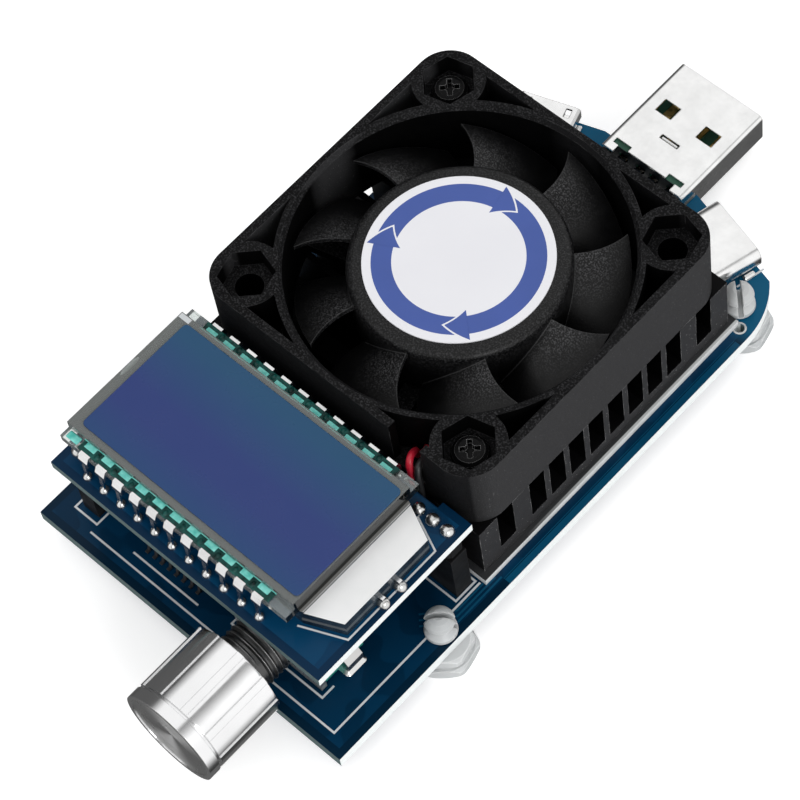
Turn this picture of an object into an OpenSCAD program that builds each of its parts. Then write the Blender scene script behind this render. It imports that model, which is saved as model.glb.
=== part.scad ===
// Small USB electronic load: a finned cooler with a fan on a blue circuit board,
// a display board on header stacks, a push encoder with an aluminium knob, a USB-A
// plug, a USB-C socket and a micro-USB socket at the back, and four nylon feet.
// Millimetres. +X right, +Y back towards the plug, +Z up, feet on z = 0.

/* [Cooler] */
// Side of the square fan and of the heat sink
cooler_w = 40; // [38:0.5:44]
// Thickness of the fan
fan_t = 10; // [9:0.5:12]
// Distance between neighbouring fixing holes of the fan
fan_pitch = 32; // [31:0.1:32.5]
// Least wall between the air duct and the side of the fan
duct_wall = 1.1; // [0.9:0.1:2]
// Radius of the rotor's hub
hub_r = 12.2; // [12:0.1:13]
// Number of blades on the rotor
blades = 9; // [5:1:11]
// Free gap between the blade tips and the duct
tip_gap = 0.7; // [0.4:0.1:1.5]
// Height of the heat sink
sink_h = 8.3; // [6:0.1:14]
// Thickness of the heat sink's floor under the slots
sink_floor = 1.6; // [1:0.1:3]
// Number of thin fins between the two stout pairs
thin_fins = 7; // [4:1:8]
// Thickness of a thin fin
fin_t = 0.8; // [0.5:0.1:1.2]
// Thickness of the inner stout fins
stout_t = 2.6; // [1.5:0.1:3.2]
// Width of the slots that the fan's screws bite into
screw_slot = 2.4; // [2:0.1:2.7]
// Thickness of the thermal pad
pad_t = 1; // [0.5:0.1:2]
// How far the pad reaches past the heat sink
pad_lip = 0.8; // [0.2:0.1:1.2]

/* [Main board] */
// Thickness of the main board
board_t = 1.6; // [1:0.2:2.4]
// Strip of board beside the cooler
side_lip = 2.65; // [2.4:0.05:6]
// Depth of the board behind the cooler
rear_deck = 11; // [10:0.5:16]
// Strip of board in front of the display board
front_lip = 2; // [1.5:0.1:5]
// Radius of the two rear corners
rear_corner_r = 11; // [6:0.5:12]

/* [Display] */
// Width of the display board
disp_w = 39.4; // [39:0.2:42]
// Depth of the display board
disp_d = 23.2; // [23:0.2:28]
// Thickness of the display board
disp_t = 1.2; // [0.8:0.2:1.6]
// Gap between the display board and the cooler
disp_gap = 0.45; // [0.3:0.05:2]
// Width of the display's glass
lcd_w = 33.1; // [32:0.1:34]
// Depth of the rear glass, which carries the contact pins
rear_glass_d = 20; // [19:0.1:20.2]
// Depth of the front glass
front_glass_d = 17.4; // [15:0.1:17.6]
// Thickness of each glass
glass_t = 1.1; // [0.7:0.1:1.4]
// Thickness of the backlight
backlight_t = 2.8; // [2:0.1:4]
// Contact pins on each long side of the glass
lcd_pins = 11; // [6:1:12]

/* [Encoder and knob] */
// Distance of the encoder's axis to the right of the cooler's axis
enc_x = 9.6; // [7:0.1:10.5]
// Width of the encoder's body
enc_w = 12; // [11:0.1:12.6]
// Height of the encoder's body
enc_h = 10.4; // [10:0.1:13]
// Depth of the encoder's body
enc_d = 6; // [5.6:0.1:7]
// Diameter of the threaded bushing
bushing_d = 6.8; // [6.6:0.1:8]
// Diameter of the encoder's shaft
shaft_d = 6; // [5:0.1:6]
// Travel of the push switch
push_travel = 0.5; // [0.2:0.1:0.6]
// Diameter of the knob
knob_d = 12; // [11:0.2:12.6]
// Length of the knob
knob_l = 10.3; // [8:0.1:14]
// Raised ribs around the knob
knob_ribs = 10; // [4:1:14]

/* [Connectors] */
// Width of the USB-A plug
plug_w = 12; // [11.8:0.1:12.2]
// Height of the USB-A plug
plug_h = 4.5; // [4.3:0.1:4.6]
// Length of the USB-A plug's shell
plug_l = 14.2; // [13:0.1:19]
// Length of the plug's shell that stands past the board
plug_out = 11.8; // [10:0.1:12.2]
// Width of the USB-C socket
usbc_w = 8.94; // [8.6:0.02:9.2]
// Height of the USB-C socket
usbc_h = 3.26; // [3:0.02:3.5]
// Turn of the USB-C socket towards the right-hand corner
usbc_turn = 15; // [0:1:20]
// Width of the micro-USB socket
micro_w = 7.4; // [7:0.1:7.8]
// Height of the micro-USB socket
micro_h = 2.5; // [2.3:0.1:2.9]
// Turn of the micro-USB socket towards the left-hand corner
micro_turn = 18; // [0:1:20]

/* [Feet] */
// Height of a foot below the board
foot_h = 3; // [2.8:0.1:10]
// Radius of a foot's hexagonal base, out to its corners
foot_r = 3.95; // [3.2:0.05:4.5]
// Radius of a foot's neck where it passes through the board
foot_neck_r = 1.25; // [1:0.05:1.4]

/* [Hidden] */
$fn = 64;
eps = 0.01;
gap = 0.3;           // room between parts that must not touch
slip = 0.05;         // radial play of a running shaft
wall = 0.3;          // sheet steel of the connector shells

// Levels from the ground up
z_board = foot_h;
z_top = z_board + board_t;
z_pad = z_top + pad_t;
z_fan = z_pad + sink_h;
z_face = z_fan + fan_t;
enc_stand = 0.4;     // encoder body above the main board
disp_stand = enc_stand + enc_h + 0.2;
z_disp = z_top + disp_stand;
z_disp_top = z_disp + disp_t;
z_glass = z_disp_top + backlight_t;
z_front_glass = z_glass + glass_t;
z_film = z_front_glass + glass_t;
film_t = 0.2;
film_edge = 0.8;                 // glass left bare around the film
film_left = 1.4;

// Plan positions measured from the fan's axis
sink_front = -cooler_w / 2;
disp_back = sink_front - disp_gap;
disp_front = disp_back - disp_d;
disp_mid = (disp_back + disp_front) / 2;
board_front = disp_front - front_lip;
board_back = cooler_w / 2 + rear_deck;
board_w = cooler_w + 2 * side_lip;
plug_tip = board_back + plug_out;
plug_rear = plug_tip - plug_l;
knob_rear = board_front - push_travel - 0.25;
knob_front = knob_rear - knob_l;
y_shift = -(knob_front + plug_tip) / 2;

// Fan and rotor
hole_at = fan_pitch / 2;
fan_corner_r = cooler_w / 2 - hole_at;
duct_r = cooler_w / 2 - duct_wall;
rib_t = 1;           // moulded walls around the corner pockets
nut_flats = 5.5;     // hexagonal nut pockets in the corners
nut_r = nut_flats / sqrt(3);
boss_bore_d = 2.6;
boss_hole_r = 1.6;
pocket_d = fan_t - 3;
base_t = 1;          // motor base at the bottom of the fan
strut_w = 2.2;
strut_t = 1.2;
hub_wall = 1.3;
hub_top = z_face - 0.7;
hub_low = z_fan + base_t + 0.6;
hub_cap = 1.6;
yoke_t = 0.5;
yoke_r = hub_r - hub_wall;
magnet_t = 1.2;
magnet_r = yoke_r - yoke_t;
air_gap = 0.5;
stator_r = magnet_r - magnet_t - air_gap;
pole_w = 2.4;
core_end = 1.3;                  // coil ends beyond the iron
motor_z = z_fan + base_t;
tube_r = 2.6;
sleeve_r = 2;
spindle_r = 1;
tube_top = hub_top - hub_cap - yoke_t - 0.5;
label_r = hub_r - 1.8;
label_t = 0.15;
tip_r = duct_r - tip_gap;
blade_high = hub_top - 0.8;
blade_low = z_fan + strut_t + 0.8;
blade_chord = 306 / blades;      // degrees of the circle that one blade covers
blade_sweep = 7;                 // degrees that the tip runs ahead of the root
blade_phase = 5;                 // where the first blade stands, in degrees
blade_t = 0.9;
blade_rows = 5;
blade_cols = 7;

// Fan screws sit in the rear-left and front-right corners
screw_r = 1.35;
screw_head_r = 2.1;
screw_head_h = 1.3;
cross_w = 0.55;
cross_r = 1.1;
screw_bite = 4;
screw_spots = [[-hole_at, hole_at], [hole_at, -hole_at]];

// Heat sink slots
inner_room = 2 * (hole_at - screw_slot / 2 - stout_t);
fin_slot = (inner_room - thin_fins * fin_t) / (thin_fins + 1);

// Header stacks between the boards
pin_pitch = 2;
pin_w = 0.5;
pin_hole_r = 0.42;
pin_down = 8.6;                  // header pin below the display board
pin_up = 0.8;                    // and above it
header_w = 2.3;
header_base_h = 2.5;
header_seat = 0.5;               // free gap between header and socket
socket_hole = [0.9, 1.2];
socket_floor = 1;
socket_over = 0.1;               // housing past its last contact's cell
contact_w = 0.5;
contact_t = 0.2;
contact_off = 0.35;              // spring strip beside the pin, from the row's middle
contact_step = 0.3;              // foot of the strip between tail and spring
tail_t = 0.4;
tail_out = 1.2;                  // pins and tails below the main board
socket_h = disp_stand - header_base_h - header_seat;
left_pins = 5;
right_pins = 3;
left_at = [-disp_w / 2 + header_w / 2 + 0.3, disp_front + left_pins * pin_pitch / 2 + 1.8];
right_at = [disp_w / 2 - right_pins * pin_pitch / 2 - 0.4, disp_back - header_w / 2 - 1.1];
left_spots = [for (i = [0:left_pins - 1]) left_at + [0, (i - (left_pins - 1) / 2) * pin_pitch]];
right_spots = [for (i = [0:right_pins - 1]) right_at + [(i - (right_pins - 1) / 2) * pin_pitch, 0]];

// Display module on its board
lcd_pitch = 2.54;
lcd_x = -2.6;
lcd_y = disp_mid + 0.3;
clip_w = 1.35;
clip_t = 0.25;
leg_w = 0.5;
leg_bend = 1.4;                  // legs run straight below this height over the board
leg_out = 0.6;                   // legs stand this far outside the rear glass
leg_y = rear_glass_d / 2 + leg_out;
pin_xs = [for (i = [0:lcd_pins - 1]) lcd_x + (i - (lcd_pins - 1) / 2) * lcd_pitch];
backlight_d = 16.4;
backlight_tab = 4.5;
backlight_end = lcd_x + lcd_w / 2 + backlight_tab;
tab_d = 12.5;
light_pin_x = backlight_end + 0.45;
light_pin_y = [lcd_y + lcd_pitch / 2, lcd_y - lcd_pitch / 2];
lead_notch = [2.4, 0.8];         // notch in the display board for the fan's leads

// Encoder
enc_z = z_top + enc_stand + enc_h / 2;
plate_t = 0.8;
plate_front = board_front + 4.4;
enc_front = plate_front + plate_t;
enc_back = enc_front + enc_d;
bushing_r = bushing_d / 2;
bushing_end = knob_rear + 0.4;
bushing_flange_t = 0.5;
shaft_r = shaft_d / 2;
tail_r = 2;
flat_at = 1.5;                   // flat on the shaft's tail, from the axis
wiper_r = 4.2;
wiper_t = 0.7;
wiper_front = enc_front + bushing_flange_t + 0.3;
tail_step = wiper_front - push_travel - 0.1;
tail_end = wiper_front + wiper_t + 0.3;
dome_y = tail_end + push_travel + 0.1;
dome_t = 0.15;
cavity_r = wiper_r + gap;
enc_pin_n = 5;
enc_pin_pitch = 2.5;
enc_pin_y = enc_back + 1;
enc_pin_w = 0.8;
enc_pin_t = 0.5;
enc_pin_z = enc_z - enc_h / 2 + 0.8;
enc_pin_in = 1;                  // length held in the body
lug_w = 2.2;
lug_t = 0.4;
lug_y = enc_back - 2.4;
lug_bulge = 1;
lug_x = enc_w / 2 + lug_t;

// Knob
rib_h = 0.15;
rib_w = 0.9;
rib_phase = -2.6;                // where the first rib stands, in degrees
knob_r = knob_d / 2 - rib_h;
collar_l = 1.4;
groove_w = 0.35;
skirt_r = knob_d / 2 - 1.1;
skirt_l = 1.6;
disc_r = knob_d / 2 - 0.6;
disc_t = 0.8;
disc_sunk = 0.12;
shaft_end = knob_front + disc_sunk + disc_t + 0.6;
shaft_flat_at = shaft_r - 1.5;
fit = 0.02;                      // play of parts pressed together

// Connectors
plug_z = z_top - 2.6;
plug_r = 0.6;
plug_tongue_t = 1.85;
plug_block = 2.2;
plug_contact_x = [-3.5, -1, 1, 3.5];
plug_contact_w = 1;
plug_contact_t = 0.25;
plug_tail = 1.8;                 // contact tails on the board behind the shell
plug_window = [2.3, 1.9];        // latch windows, and how far they lie from the middle and the tip
plug_window_at = [3, 6.9];
plug_key = [2.6, 0.6];
plug_key_at = 9.5;
plug_prong_w = 1.8;              // rear corners that stay when the top is cut back
plug_cut = 1;
plug_slot = [2.2, 0.7];
plug_slot_x = 3.9;
usbc_l = 7.3;
usbc_at = [13.7, board_back - 1.7];
usbc_tongue_w = 6.7;
usbc_tongue_t = 0.7;
usbc_root = [7.2, 1.6, 2];
micro_l = 5.2;
micro_at = [-14, board_back - 1.8];
micro_tongue = [3.9, 0.6];       // width and thickness
micro_root = [4.4, 1.2, 1.7];
micro_spring_x = 2.5;
micro_window = [0.7, 1.2];
mouth_over = 0.3;                // sockets stand this far past the board's edge

// Feet: two beside the display board, two behind the cooler
front_foot = [board_w / 2 - 1.9, disp_back - 7.4];
rear_foot = [board_w / 2 - 3.35, cooler_w / 2 + 2.75];
foot_hole_r = foot_neck_r + 0.05;
head_r = foot_neck_r + 0.6;
split_w = 0.6;
foot_step = 1.5;
foot_turn = 43;                  // corners of the base and split of the head, in degrees
head_h = 3.8;
via_at = [board_w / 2 - 1.5, cooler_w / 2 - 0.2 + pad_lip];

// Chips on the board, the last four of them below it
mcu_at = [-6.2, board_front + 7];
mcu_size = [9, 4, 1.4];
mcu_leads = 8;
mcu_pitch = 1.1;
chip_reach = 1;                  // how far a gull-wing lead stands out
tab_t = 0.5;
power_x = 8;
power_size = [6.4, 6, 1.7];
shunt_x = 4;
shunt_size = [6.4, 3.2, 0.7];
under_chip_at = [10, -cooler_w / 2 + 4];
op_amp_size = [4.9, 3.9, 1.4];
op_amp_leads = 4;
op_amp_pitch = 1.27;
regulator_size = [6.5, 3.5, 1.6];

// Fan leads, as laid from the motor to the board
lead_r = 0.4;
lead_sides = 8;
lead_clear = 0.2;                // room between the black lead and the socket beside it
lead_step = 1.1;                 // from one lead to the other
black_x = right_at[0] - right_pins * pin_pitch / 2 - socket_over - lead_clear - lead_r;
red_x = black_x - lead_step;
lead_notch_x = (red_x + black_x) / 2;
red_route = [
    [5.2, -7.4, 14.4], [7.2, -11.6, 14.4], [8.6, -14.8, 14.6], [9.4, -16.6, 15.2],
    [9.9, -18, 17], [10.3, -18.5, 19], [10.8, -19.6, 20.2], [11.2, -20.4, 19.8],
    [red_x, -20.65, 18], [red_x, -20.65, 14.5], [red_x, -21.1, 11], [red_x, -21.8, 6], [red_x, -21.8, 4]
];
black_route = [
    [6.4, -6.8, 14.4], [8.4, -11, 14.4], [9.8, -14.2, 14.6], [10.5, -16, 15.2],
    [11, -17.4, 17], [11.4, -18.2, 18.6], [11.9, -19.6, 19.6], [12.3, -20.4, 19],
    [black_x, -20.65, 17.4], [black_x, -20.65, 14.5], [black_x, -21.1, 11], [black_x, -21.8, 6],
    [black_x, -21.8, 4]
];
lead_gate_at = [5.9, -7];        // inner end of the leads' channel in the motor base
lead_gate_turn = -66;
lead_gate_w = 3;
lead_gate_l = 13.4;
front_gate_x = 8.4;              // gap in the fan's front wall
front_gate_w = 4.4;

// Moves a piece from the fan's axis to the part's own origin
module seat() { translate([0, y_shift, 0]) children(); }

// Rectangle with round corners, about the origin
module round_rect(w, d, r) {
    square([w - 2 * r, d], center = true);
    square([w, d - 2 * r], center = true);
    for (x = [-1, 1], y = [-1, 1])
        translate([x * (w / 2 - r), y * (d / 2 - r)]) circle(r);
}

// Ring between two radii, standing on z = 0
module ring(r_out, r_in, h) {
    difference() {
        cylinder(r = r_out, h = h);
        translate([0, 0, -eps]) cylinder(r = r_in, h = h + 2 * eps);
    }
}

// Copies a piece to the four fixing corners of the fan
module at_corners() {
    for (x = [-1, 1], y = [-1, 1]) translate([x * hole_at, y * hole_at, 0]) rotate(45 * x * y) children();
}

// Hexagon with a corner on the X axis
module hexagon(r) { polygon([for (i = [0:5]) r * [cos(60 * i), sin(60 * i)]]); }

// Plan of the main board with the plug's notch and a flat edge behind each socket
module board_plan() {
    difference() {
        union() {
            translate([-board_w / 2, board_front])
                square([board_w, board_back - rear_corner_r - board_front]);
            translate([-board_w / 2 + rear_corner_r, board_front])
                square([board_w - 2 * rear_corner_r, board_back - board_front]);
            for (x = [-1, 1])
                translate([x * (board_w / 2 - rear_corner_r), board_back - rear_corner_r])
                    circle(rear_corner_r);
        }
        translate([-plug_w / 2 - 0.15, plug_rear - 0.2]) square([plug_w + 0.3, plug_l]);
        translate(usbc_at) rotate(-usbc_turn)
            translate([-usbc_w, -mouth_over]) square([3 * usbc_w, rear_deck]);
        translate(micro_at) rotate(micro_turn)
            translate([-2 * micro_w, -mouth_over]) square([3 * micro_w, rear_deck]);
    }
}

module main_board() {
    color("#12507f")
    difference() {
        translate([0, 0, z_board]) linear_extrude(board_t) board_plan();
        translate([0, 0, z_board - eps]) linear_extrude(board_t + 2 * eps) {
            for (x = [-1, 1], p = [front_foot, rear_foot]) translate([x * p[0], p[1]]) circle(foot_hole_r);
            translate(via_at) circle(0.55);
            for (p = concat(left_spots, right_spots)) translate(p) circle(pin_hole_r);
            for (i = [0:enc_pin_n - 1])
                translate([enc_x + (i - (enc_pin_n - 1) / 2) * enc_pin_pitch, enc_pin_y]) circle(0.5);
            for (x = [-1, 1])
                translate([enc_x + x * (lug_x - lug_t / 2), lug_y]) square([1, lug_w + 0.4], center = true);
            for (route = [red_route, black_route])
                translate([route[len(route) - 1][0], route[len(route) - 1][1]]) circle(lead_r + fit);
        }
    }
}

module thermal_pad() {
    color("#c9cccb")
    translate([0, 0, z_top]) linear_extrude(pad_t) square(cooler_w + 2 * pad_lip, center = true);
}

// Extrusion with slots along X, two stout fins on each side hold the fan's screws
module heat_sink() {
    color("#1d1d1f")
    difference() {
        translate([-cooler_w / 2, -cooler_w / 2, z_pad]) cube([cooler_w, cooler_w, sink_h]);
        translate([0, 0, z_pad + sink_floor]) {
            for (y = [-1, 1]) sink_slot(y * hole_at, screw_slot);
            for (i = [0:thin_fins])
                sink_slot((i - thin_fins / 2) * (fin_slot + fin_t), fin_slot);
        }
        for (p = screw_spots)
            translate([p[0], p[1], z_fan - screw_bite - 0.3]) cylinder(r = screw_r + fit, h = sink_h);
    }
}

module sink_slot(y, w) {
    translate([-cooler_w, y - w / 2, 0]) cube([2 * cooler_w, w, sink_h]);
}

// Triangular hollows beside the corner bosses
module pocket_plan() {
    difference() {
        round_rect(cooler_w - 2 * rib_t, cooler_w - 2 * rib_t, fan_corner_r - rib_t);
        circle(duct_r + rib_t);
        at_corners() circle(fan_corner_r + 0.1);
    }
}

// Moulded frame with its motor base, struts and bearing tube
module fan_frame() {
    color("#232325")
    translate([0, 0, z_fan]) {
        difference() {
            linear_extrude(fan_t) difference() {
                round_rect(cooler_w, cooler_w, fan_corner_r);
                circle(duct_r);
                at_corners() circle(boss_hole_r);
            }
            translate([0, 0, fan_t - pocket_d]) linear_extrude(fan_t) pocket_plan();
            translate([0, 0, fan_t - boss_bore_d]) at_corners() linear_extrude(fan_t) hexagon(nut_r);
            translate([0, 0, fan_t - 0.6]) cylinder(r1 = duct_r - eps, r2 = duct_r + 0.45, h = 0.6 + eps);
            lead_gate();
        }
        difference() {
            motor_base();
            lead_gate();
        }
    }
}

// Way out for the leads through the duct wall and the front wall
module lead_gate() {
    translate([front_gate_x, -cooler_w / 2 - eps, fan_t - pocket_d])
        cube([front_gate_w, rib_t + 3 * eps, fan_t]);
    translate([lead_gate_at[0], lead_gate_at[1], -eps]) rotate(lead_gate_turn)
        translate([-1, -lead_gate_w / 2, 0]) cube([lead_gate_l, lead_gate_w, pocket_d - 2.6]);
}

module motor_base() {
    difference() {
        union() {
            cylinder(r = hub_r - 0.2, h = base_t);
            for (i = [0:3]) rotate(15 + 90 * i)
                translate([hub_r - 1, -strut_w / 2, 0]) cube([duct_r - hub_r + 1.3, strut_w, strut_t]);
            cylinder(r = tube_r, h = tube_top - z_fan);
        }
        translate([0, 0, base_t - 0.2]) cylinder(r = sleeve_r, h = fan_t);
    }
}

module fan_bearing() {
    color("#b08d57")
    translate([0, 0, z_fan + base_t - 0.2])
        ring(sleeve_r, spindle_r + slip, tube_top - z_fan - base_t);
}

module motor_board() {
    color("#2f6b45")
    translate([0, 0, motor_z]) ring(stator_r + 0.4, tube_r, 0.6);
}

// One pole of the stator: an arm and a curved shoe
module stator_pole(grow) {
    translate([tube_r, -pole_w / 2 - grow, 0]) square([stator_r - tube_r - 0.8 + grow, pole_w + 2 * grow]);
}

module stator_core() {
    color("#8b8f94")
    translate([0, 0, motor_z + core_end]) linear_extrude(tube_top - motor_z - 2 * core_end) {
        difference() {
            union() {
                circle(tube_r + 1);
                for (i = [0:3]) rotate(90 * i) {
                    stator_pole(0);
                    intersection() {
                        difference() {
                            circle(stator_r);
                            circle(stator_r - 1);
                        }
                        polygon([[0, 0], [2 * stator_r, -1.4 * stator_r], [2 * stator_r, 1.4 * stator_r]]);
                    }
                }
            }
            circle(tube_r);
        }
    }
}

module stator_coils() {
    color("#b4622d")
    for (i = [0:3]) rotate(90 * i) difference() {
        translate([tube_r + 1.1, -1.9, motor_z + 0.8])
            cube([stator_r - tube_r - 2.3, 3.8, tube_top - motor_z - 1.6]);
        translate([0, 0, motor_z + core_end]) linear_extrude(tube_top - motor_z - 2 * core_end) stator_pole(0);
    }
}

module fan_screws() {
    color("#19191a")
    for (p = screw_spots) translate([p[0], p[1], z_face - boss_bore_d]) difference() {
        union() {
            translate([0, 0, -fan_t + boss_bore_d - screw_bite])
                cylinder(r = screw_r, h = fan_t - boss_bore_d + screw_bite);
            rotate_extrude() polygon([
                [0, 0], [screw_head_r, 0], [screw_head_r, 0.5], [screw_head_r - 0.15, 0.85],
                [screw_head_r - 0.5, screw_head_h - 0.1], [screw_head_r - 0.9, screw_head_h],
                [0, screw_head_h]
            ]);
        }
        translate([0, 0, screw_head_h - 0.8]) {
            for (a = [45, 135]) rotate(a)
                translate([-cross_r, -cross_w / 2, 0]) cube([2 * cross_r, cross_w, screw_head_h]);
            cylinder(r = cross_w, h = screw_head_h);
        }
    }
}

// Points of a smooth curve through the route's own points
function curve(p, i, t) =
    let (a = p[max(i - 1, 0)], b = p[i], c = p[i + 1], d = p[min(i + 2, len(p) - 1)])
    0.5 * (2 * b + (c - a) * t + (2 * a - 5 * b + 4 * c - d) * t * t
        + (3 * b - a - 3 * c + d) * t * t * t);
function smooth(p) = concat(
    [for (i = [0:len(p) - 2], t = [0, 0.5]) curve(p, i, t)], [p[len(p) - 1]]);
function heading(p, i) =
    let (v = p[min(i + 1, len(p) - 1)] - p[max(i - 1, 0)]) v / norm(v);

// Round tube swept along a route
module tube_along(route, r, sides) {
    path = smooth(route);
    n = len(path);
    points = [for (i = [0:n - 1])
        let (t = heading(path, i), u = cross(t, [0.86, 0.5, 0]), s = u / norm(u), w = cross(t, s))
        for (k = [0:sides - 1])
            path[i] + r * (cos(360 * k / sides) * s + sin(360 * k / sides) * w)];
    walls = [for (i = [0:n - 2], k = [0:sides - 1])
        let (a = i * sides + k, b = i * sides + (k + 1) % sides)
        for (f = [[a, a + sides, b], [b, a + sides, b + sides]]) f];
    ends = [[for (k = [0:sides - 1]) k], [for (k = [sides - 1:-1:0]) (n - 1) * sides + k]];
    polyhedron(points, concat(walls, ends));
}

module fan_lead_red() { color("#b3162a") tube_along(red_route, lead_r, lead_sides); }

module fan_lead_black() { color("#1a1a1c") tube_along(black_route, lead_r, lead_sides); }

// Point of a blade: s runs from root to tip, t from the leading to the trailing edge
function blade_point(s, t, under) =
    let (r = hub_r - 0.5 + s * (tip_r - hub_r + 0.5),
         a = blade_sweep * s * s - blade_chord * t,
         drop = 0.6 * t + 0.4 * t * t,
         thick = blade_t * (1 - 0.35 * s) * (0.35 + 0.65 * sin(180 * t)),
         high = blade_high - 0.5 * s,
         z = high - (high - blade_low - blade_t) * drop - under * thick)
    [r * cos(a), r * sin(a), z];

// Cambered, twisted blade as a closed shell of two skins
module blade() {
    m = blade_cols + 1;
    half = (blade_rows + 1) * m;
    points = [for (under = [0, 1], i = [0:blade_rows], j = [0:blade_cols])
        blade_point(i / blade_rows, j / blade_cols, under)];
    skins = [for (i = [0:blade_rows - 1], j = [0:blade_cols - 1])
        let (a = i * m + j, b = a + 1, c = a + m, d = c + 1)
        for (f = [[a, c, b], [b, c, d], [half + a, half + b, half + c], [half + b, half + d, half + c]]) f];
    sides = [for (j = [0:blade_cols - 1])
        let (a = j, b = j + 1, c = blade_rows * m + j, d = c + 1)
        for (f = [[a, b, half + a], [b, half + b, half + a], [c, half + c, d], [d, half + c, half + d]]) f];
    edges = [for (i = [0:blade_rows - 1])
        let (a = i * m, b = a + m, c = a + blade_cols, d = c + m)
        for (f = [[a, half + a, b], [b, half + a, half + b], [c, d, half + c], [d, half + d, half + c]]) f];
    polyhedron(points, concat(skins, sides, edges));
}

module fan_rotor() {
    color("#202022") {
        rotate_extrude() polygon([
            [spindle_r, hub_top - hub_cap], [yoke_r, hub_top - hub_cap], [yoke_r, hub_low],
            [hub_r, hub_low], [hub_r, hub_top - 0.8], [hub_r - 0.25, hub_top - 0.25],
            [hub_r - 0.8, hub_top], [0, hub_top], [0, hub_top - 0.6], [spindle_r, hub_top - 0.6]
        ]);
        for (i = [0:blades - 1]) rotate(360 * i / blades + blade_phase) blade();
    }
}

module rotor_yoke() {
    color("#9a9ea3")
    difference() {
        translate([0, 0, hub_low + 0.3]) cylinder(r = yoke_r, h = hub_top - hub_cap - hub_low - 0.3);
        translate([0, 0, hub_low]) cylinder(r = magnet_r, h = hub_top - hub_cap - yoke_t - hub_low);
        translate([0, 0, hub_low]) cylinder(r = spindle_r + fit, h = fan_t);
    }
}

module rotor_magnet() {
    color("#3c3a38")
    translate([0, 0, hub_low + 0.5])
        ring(magnet_r, magnet_r - magnet_t, hub_top - hub_cap - yoke_t - hub_low - 0.5);
}

module rotor_spindle() {
    color("#d5d8da")
    translate([0, 0, z_fan + base_t]) cylinder(r = spindle_r, h = hub_top - 0.6 - z_fan - base_t);
}

module hub_label() {
    color("#f2f3f5") translate([0, 0, hub_top]) cylinder(r = label_r, h = label_t);
}

// Display board with its pin holes and a notch for the fan's leads
module display_board() {
    color("#17588a")
    translate([0, 0, z_disp]) linear_extrude(disp_t) difference() {
        translate([-disp_w / 2, disp_front]) square([disp_w, disp_d]);
        for (p = concat(left_spots, right_spots)) translate(p) circle(pin_hole_r);
        for (x = pin_xs, y = [-1, 1]) translate([x, lcd_y + y * leg_y]) circle(0.36);
        for (y = light_pin_y) translate([light_pin_x, y]) circle(0.36);
        translate([lead_notch_x - lead_notch[0] / 2, disp_back - lead_notch[1]]) square(lead_notch * 2);
    }
}

// Female socket strip; along tells which way its row of contacts runs
module socket(at, n, along) {
    foot = contact_off + contact_t + tail_t / 2 + 0.2;
    translate([at[0], at[1], z_top]) rotate(along) difference() {
        linear_extrude(socket_h) square([n * pin_pitch + 2 * socket_over, header_w], center = true);
        for (i = [0:n - 1]) translate([(i - (n - 1) / 2) * pin_pitch, 0, 0]) {
            translate([0, 0, socket_floor]) linear_extrude(socket_h) square(socket_hole, center = true);
            translate([-contact_w / 2 - 0.05, contact_off - 0.05, -eps])
                cube([contact_w + 0.1, contact_t + 0.1, socket_floor + 2 * eps]);
            translate([-contact_w / 2 - 0.05, -tail_t / 2 - 0.1, -eps])
                cube([contact_w + 0.1, foot, contact_step + 0.1]);
        }
    }
}

module socket_left() { color("#161617") socket(left_at, left_pins, 90); }

module socket_right() { color("#161617") socket(right_at, right_pins, 0); }

// Spring strip in each socket hole with a tail through the board
module socket_contacts() {
    color("#c8a24a") {
        for (p = left_spots) translate([p[0], p[1], 0]) rotate(90) socket_contact();
        for (p = right_spots) translate([p[0], p[1], 0]) socket_contact();
    }
}

module socket_contact() {
    x = -contact_w / 2;
    translate([x, contact_off, z_top]) cube([contact_w, contact_t, socket_h - socket_floor]);
    translate([x, -tail_t / 2, z_board - tail_out])
        cube([contact_w, tail_t, board_t + tail_out + contact_step]);
    translate([x, -tail_t / 2, z_top]) cube([contact_w, contact_off + contact_t + tail_t / 2, contact_step]);
}

// Male header strip under the display board
module header(spots, at, n, along) {
    difference() {
        translate([at[0], at[1], z_disp - header_base_h]) linear_extrude(header_base_h) rotate(along)
            for (i = [0:n - 1]) translate([(i - (n - 1) / 2) * pin_pitch, 0]) header_cell();
        for (p = spots) translate([p[0], p[1], z_disp - header_base_h - eps])
            cylinder(r = pin_w * 0.75, h = header_base_h + 2 * eps);
    }
}

// Plan of one cell of a header strip, with the notches where it snaps off
module header_cell() {
    h = header_w / 2;
    p = pin_pitch / 2;
    polygon([[-p, -h + 0.4], [-p + 0.4, -h], [p - 0.4, -h], [p, -h + 0.4],
             [p, h - 0.4], [p - 0.4, h], [-p + 0.4, h], [-p, h - 0.4]]);
}

module header_left() { color("#18181a") header(left_spots, left_at, left_pins, 90); }

module header_right() { color("#18181a") header(right_spots, right_at, right_pins, 0); }

module header_pins() {
    color("#cfa84f")
    for (p = concat(left_spots, right_spots))
        translate([p[0] - pin_w / 2, p[1] - pin_w / 2, z_disp - pin_down])
            cube([pin_w, pin_w, pin_down + disp_t + pin_up]);
}

// Light guide under the glass, its right-hand end tapers to the lamp's tab
module backlight() {
    left = max(lcd_x - lcd_w / 2, left_at[0] + pin_w / 2) + gap;
    right = lcd_x + lcd_w / 2 + 0.1;
    color("#eef0ee")
    translate([0, lcd_y, z_disp_top]) difference() {
        linear_extrude(backlight_t) polygon([
            [left, -backlight_d / 2], [right, -backlight_d / 2], [backlight_end, -tab_d / 2],
            [backlight_end, tab_d / 2], [right, backlight_d / 2], [left, backlight_d / 2]
        ]);
        translate([right + 0.3, -backlight_d, backlight_t - 0.3]) cube([backlight_tab * 2, 2 * backlight_d, 1]);
    }
}

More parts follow.
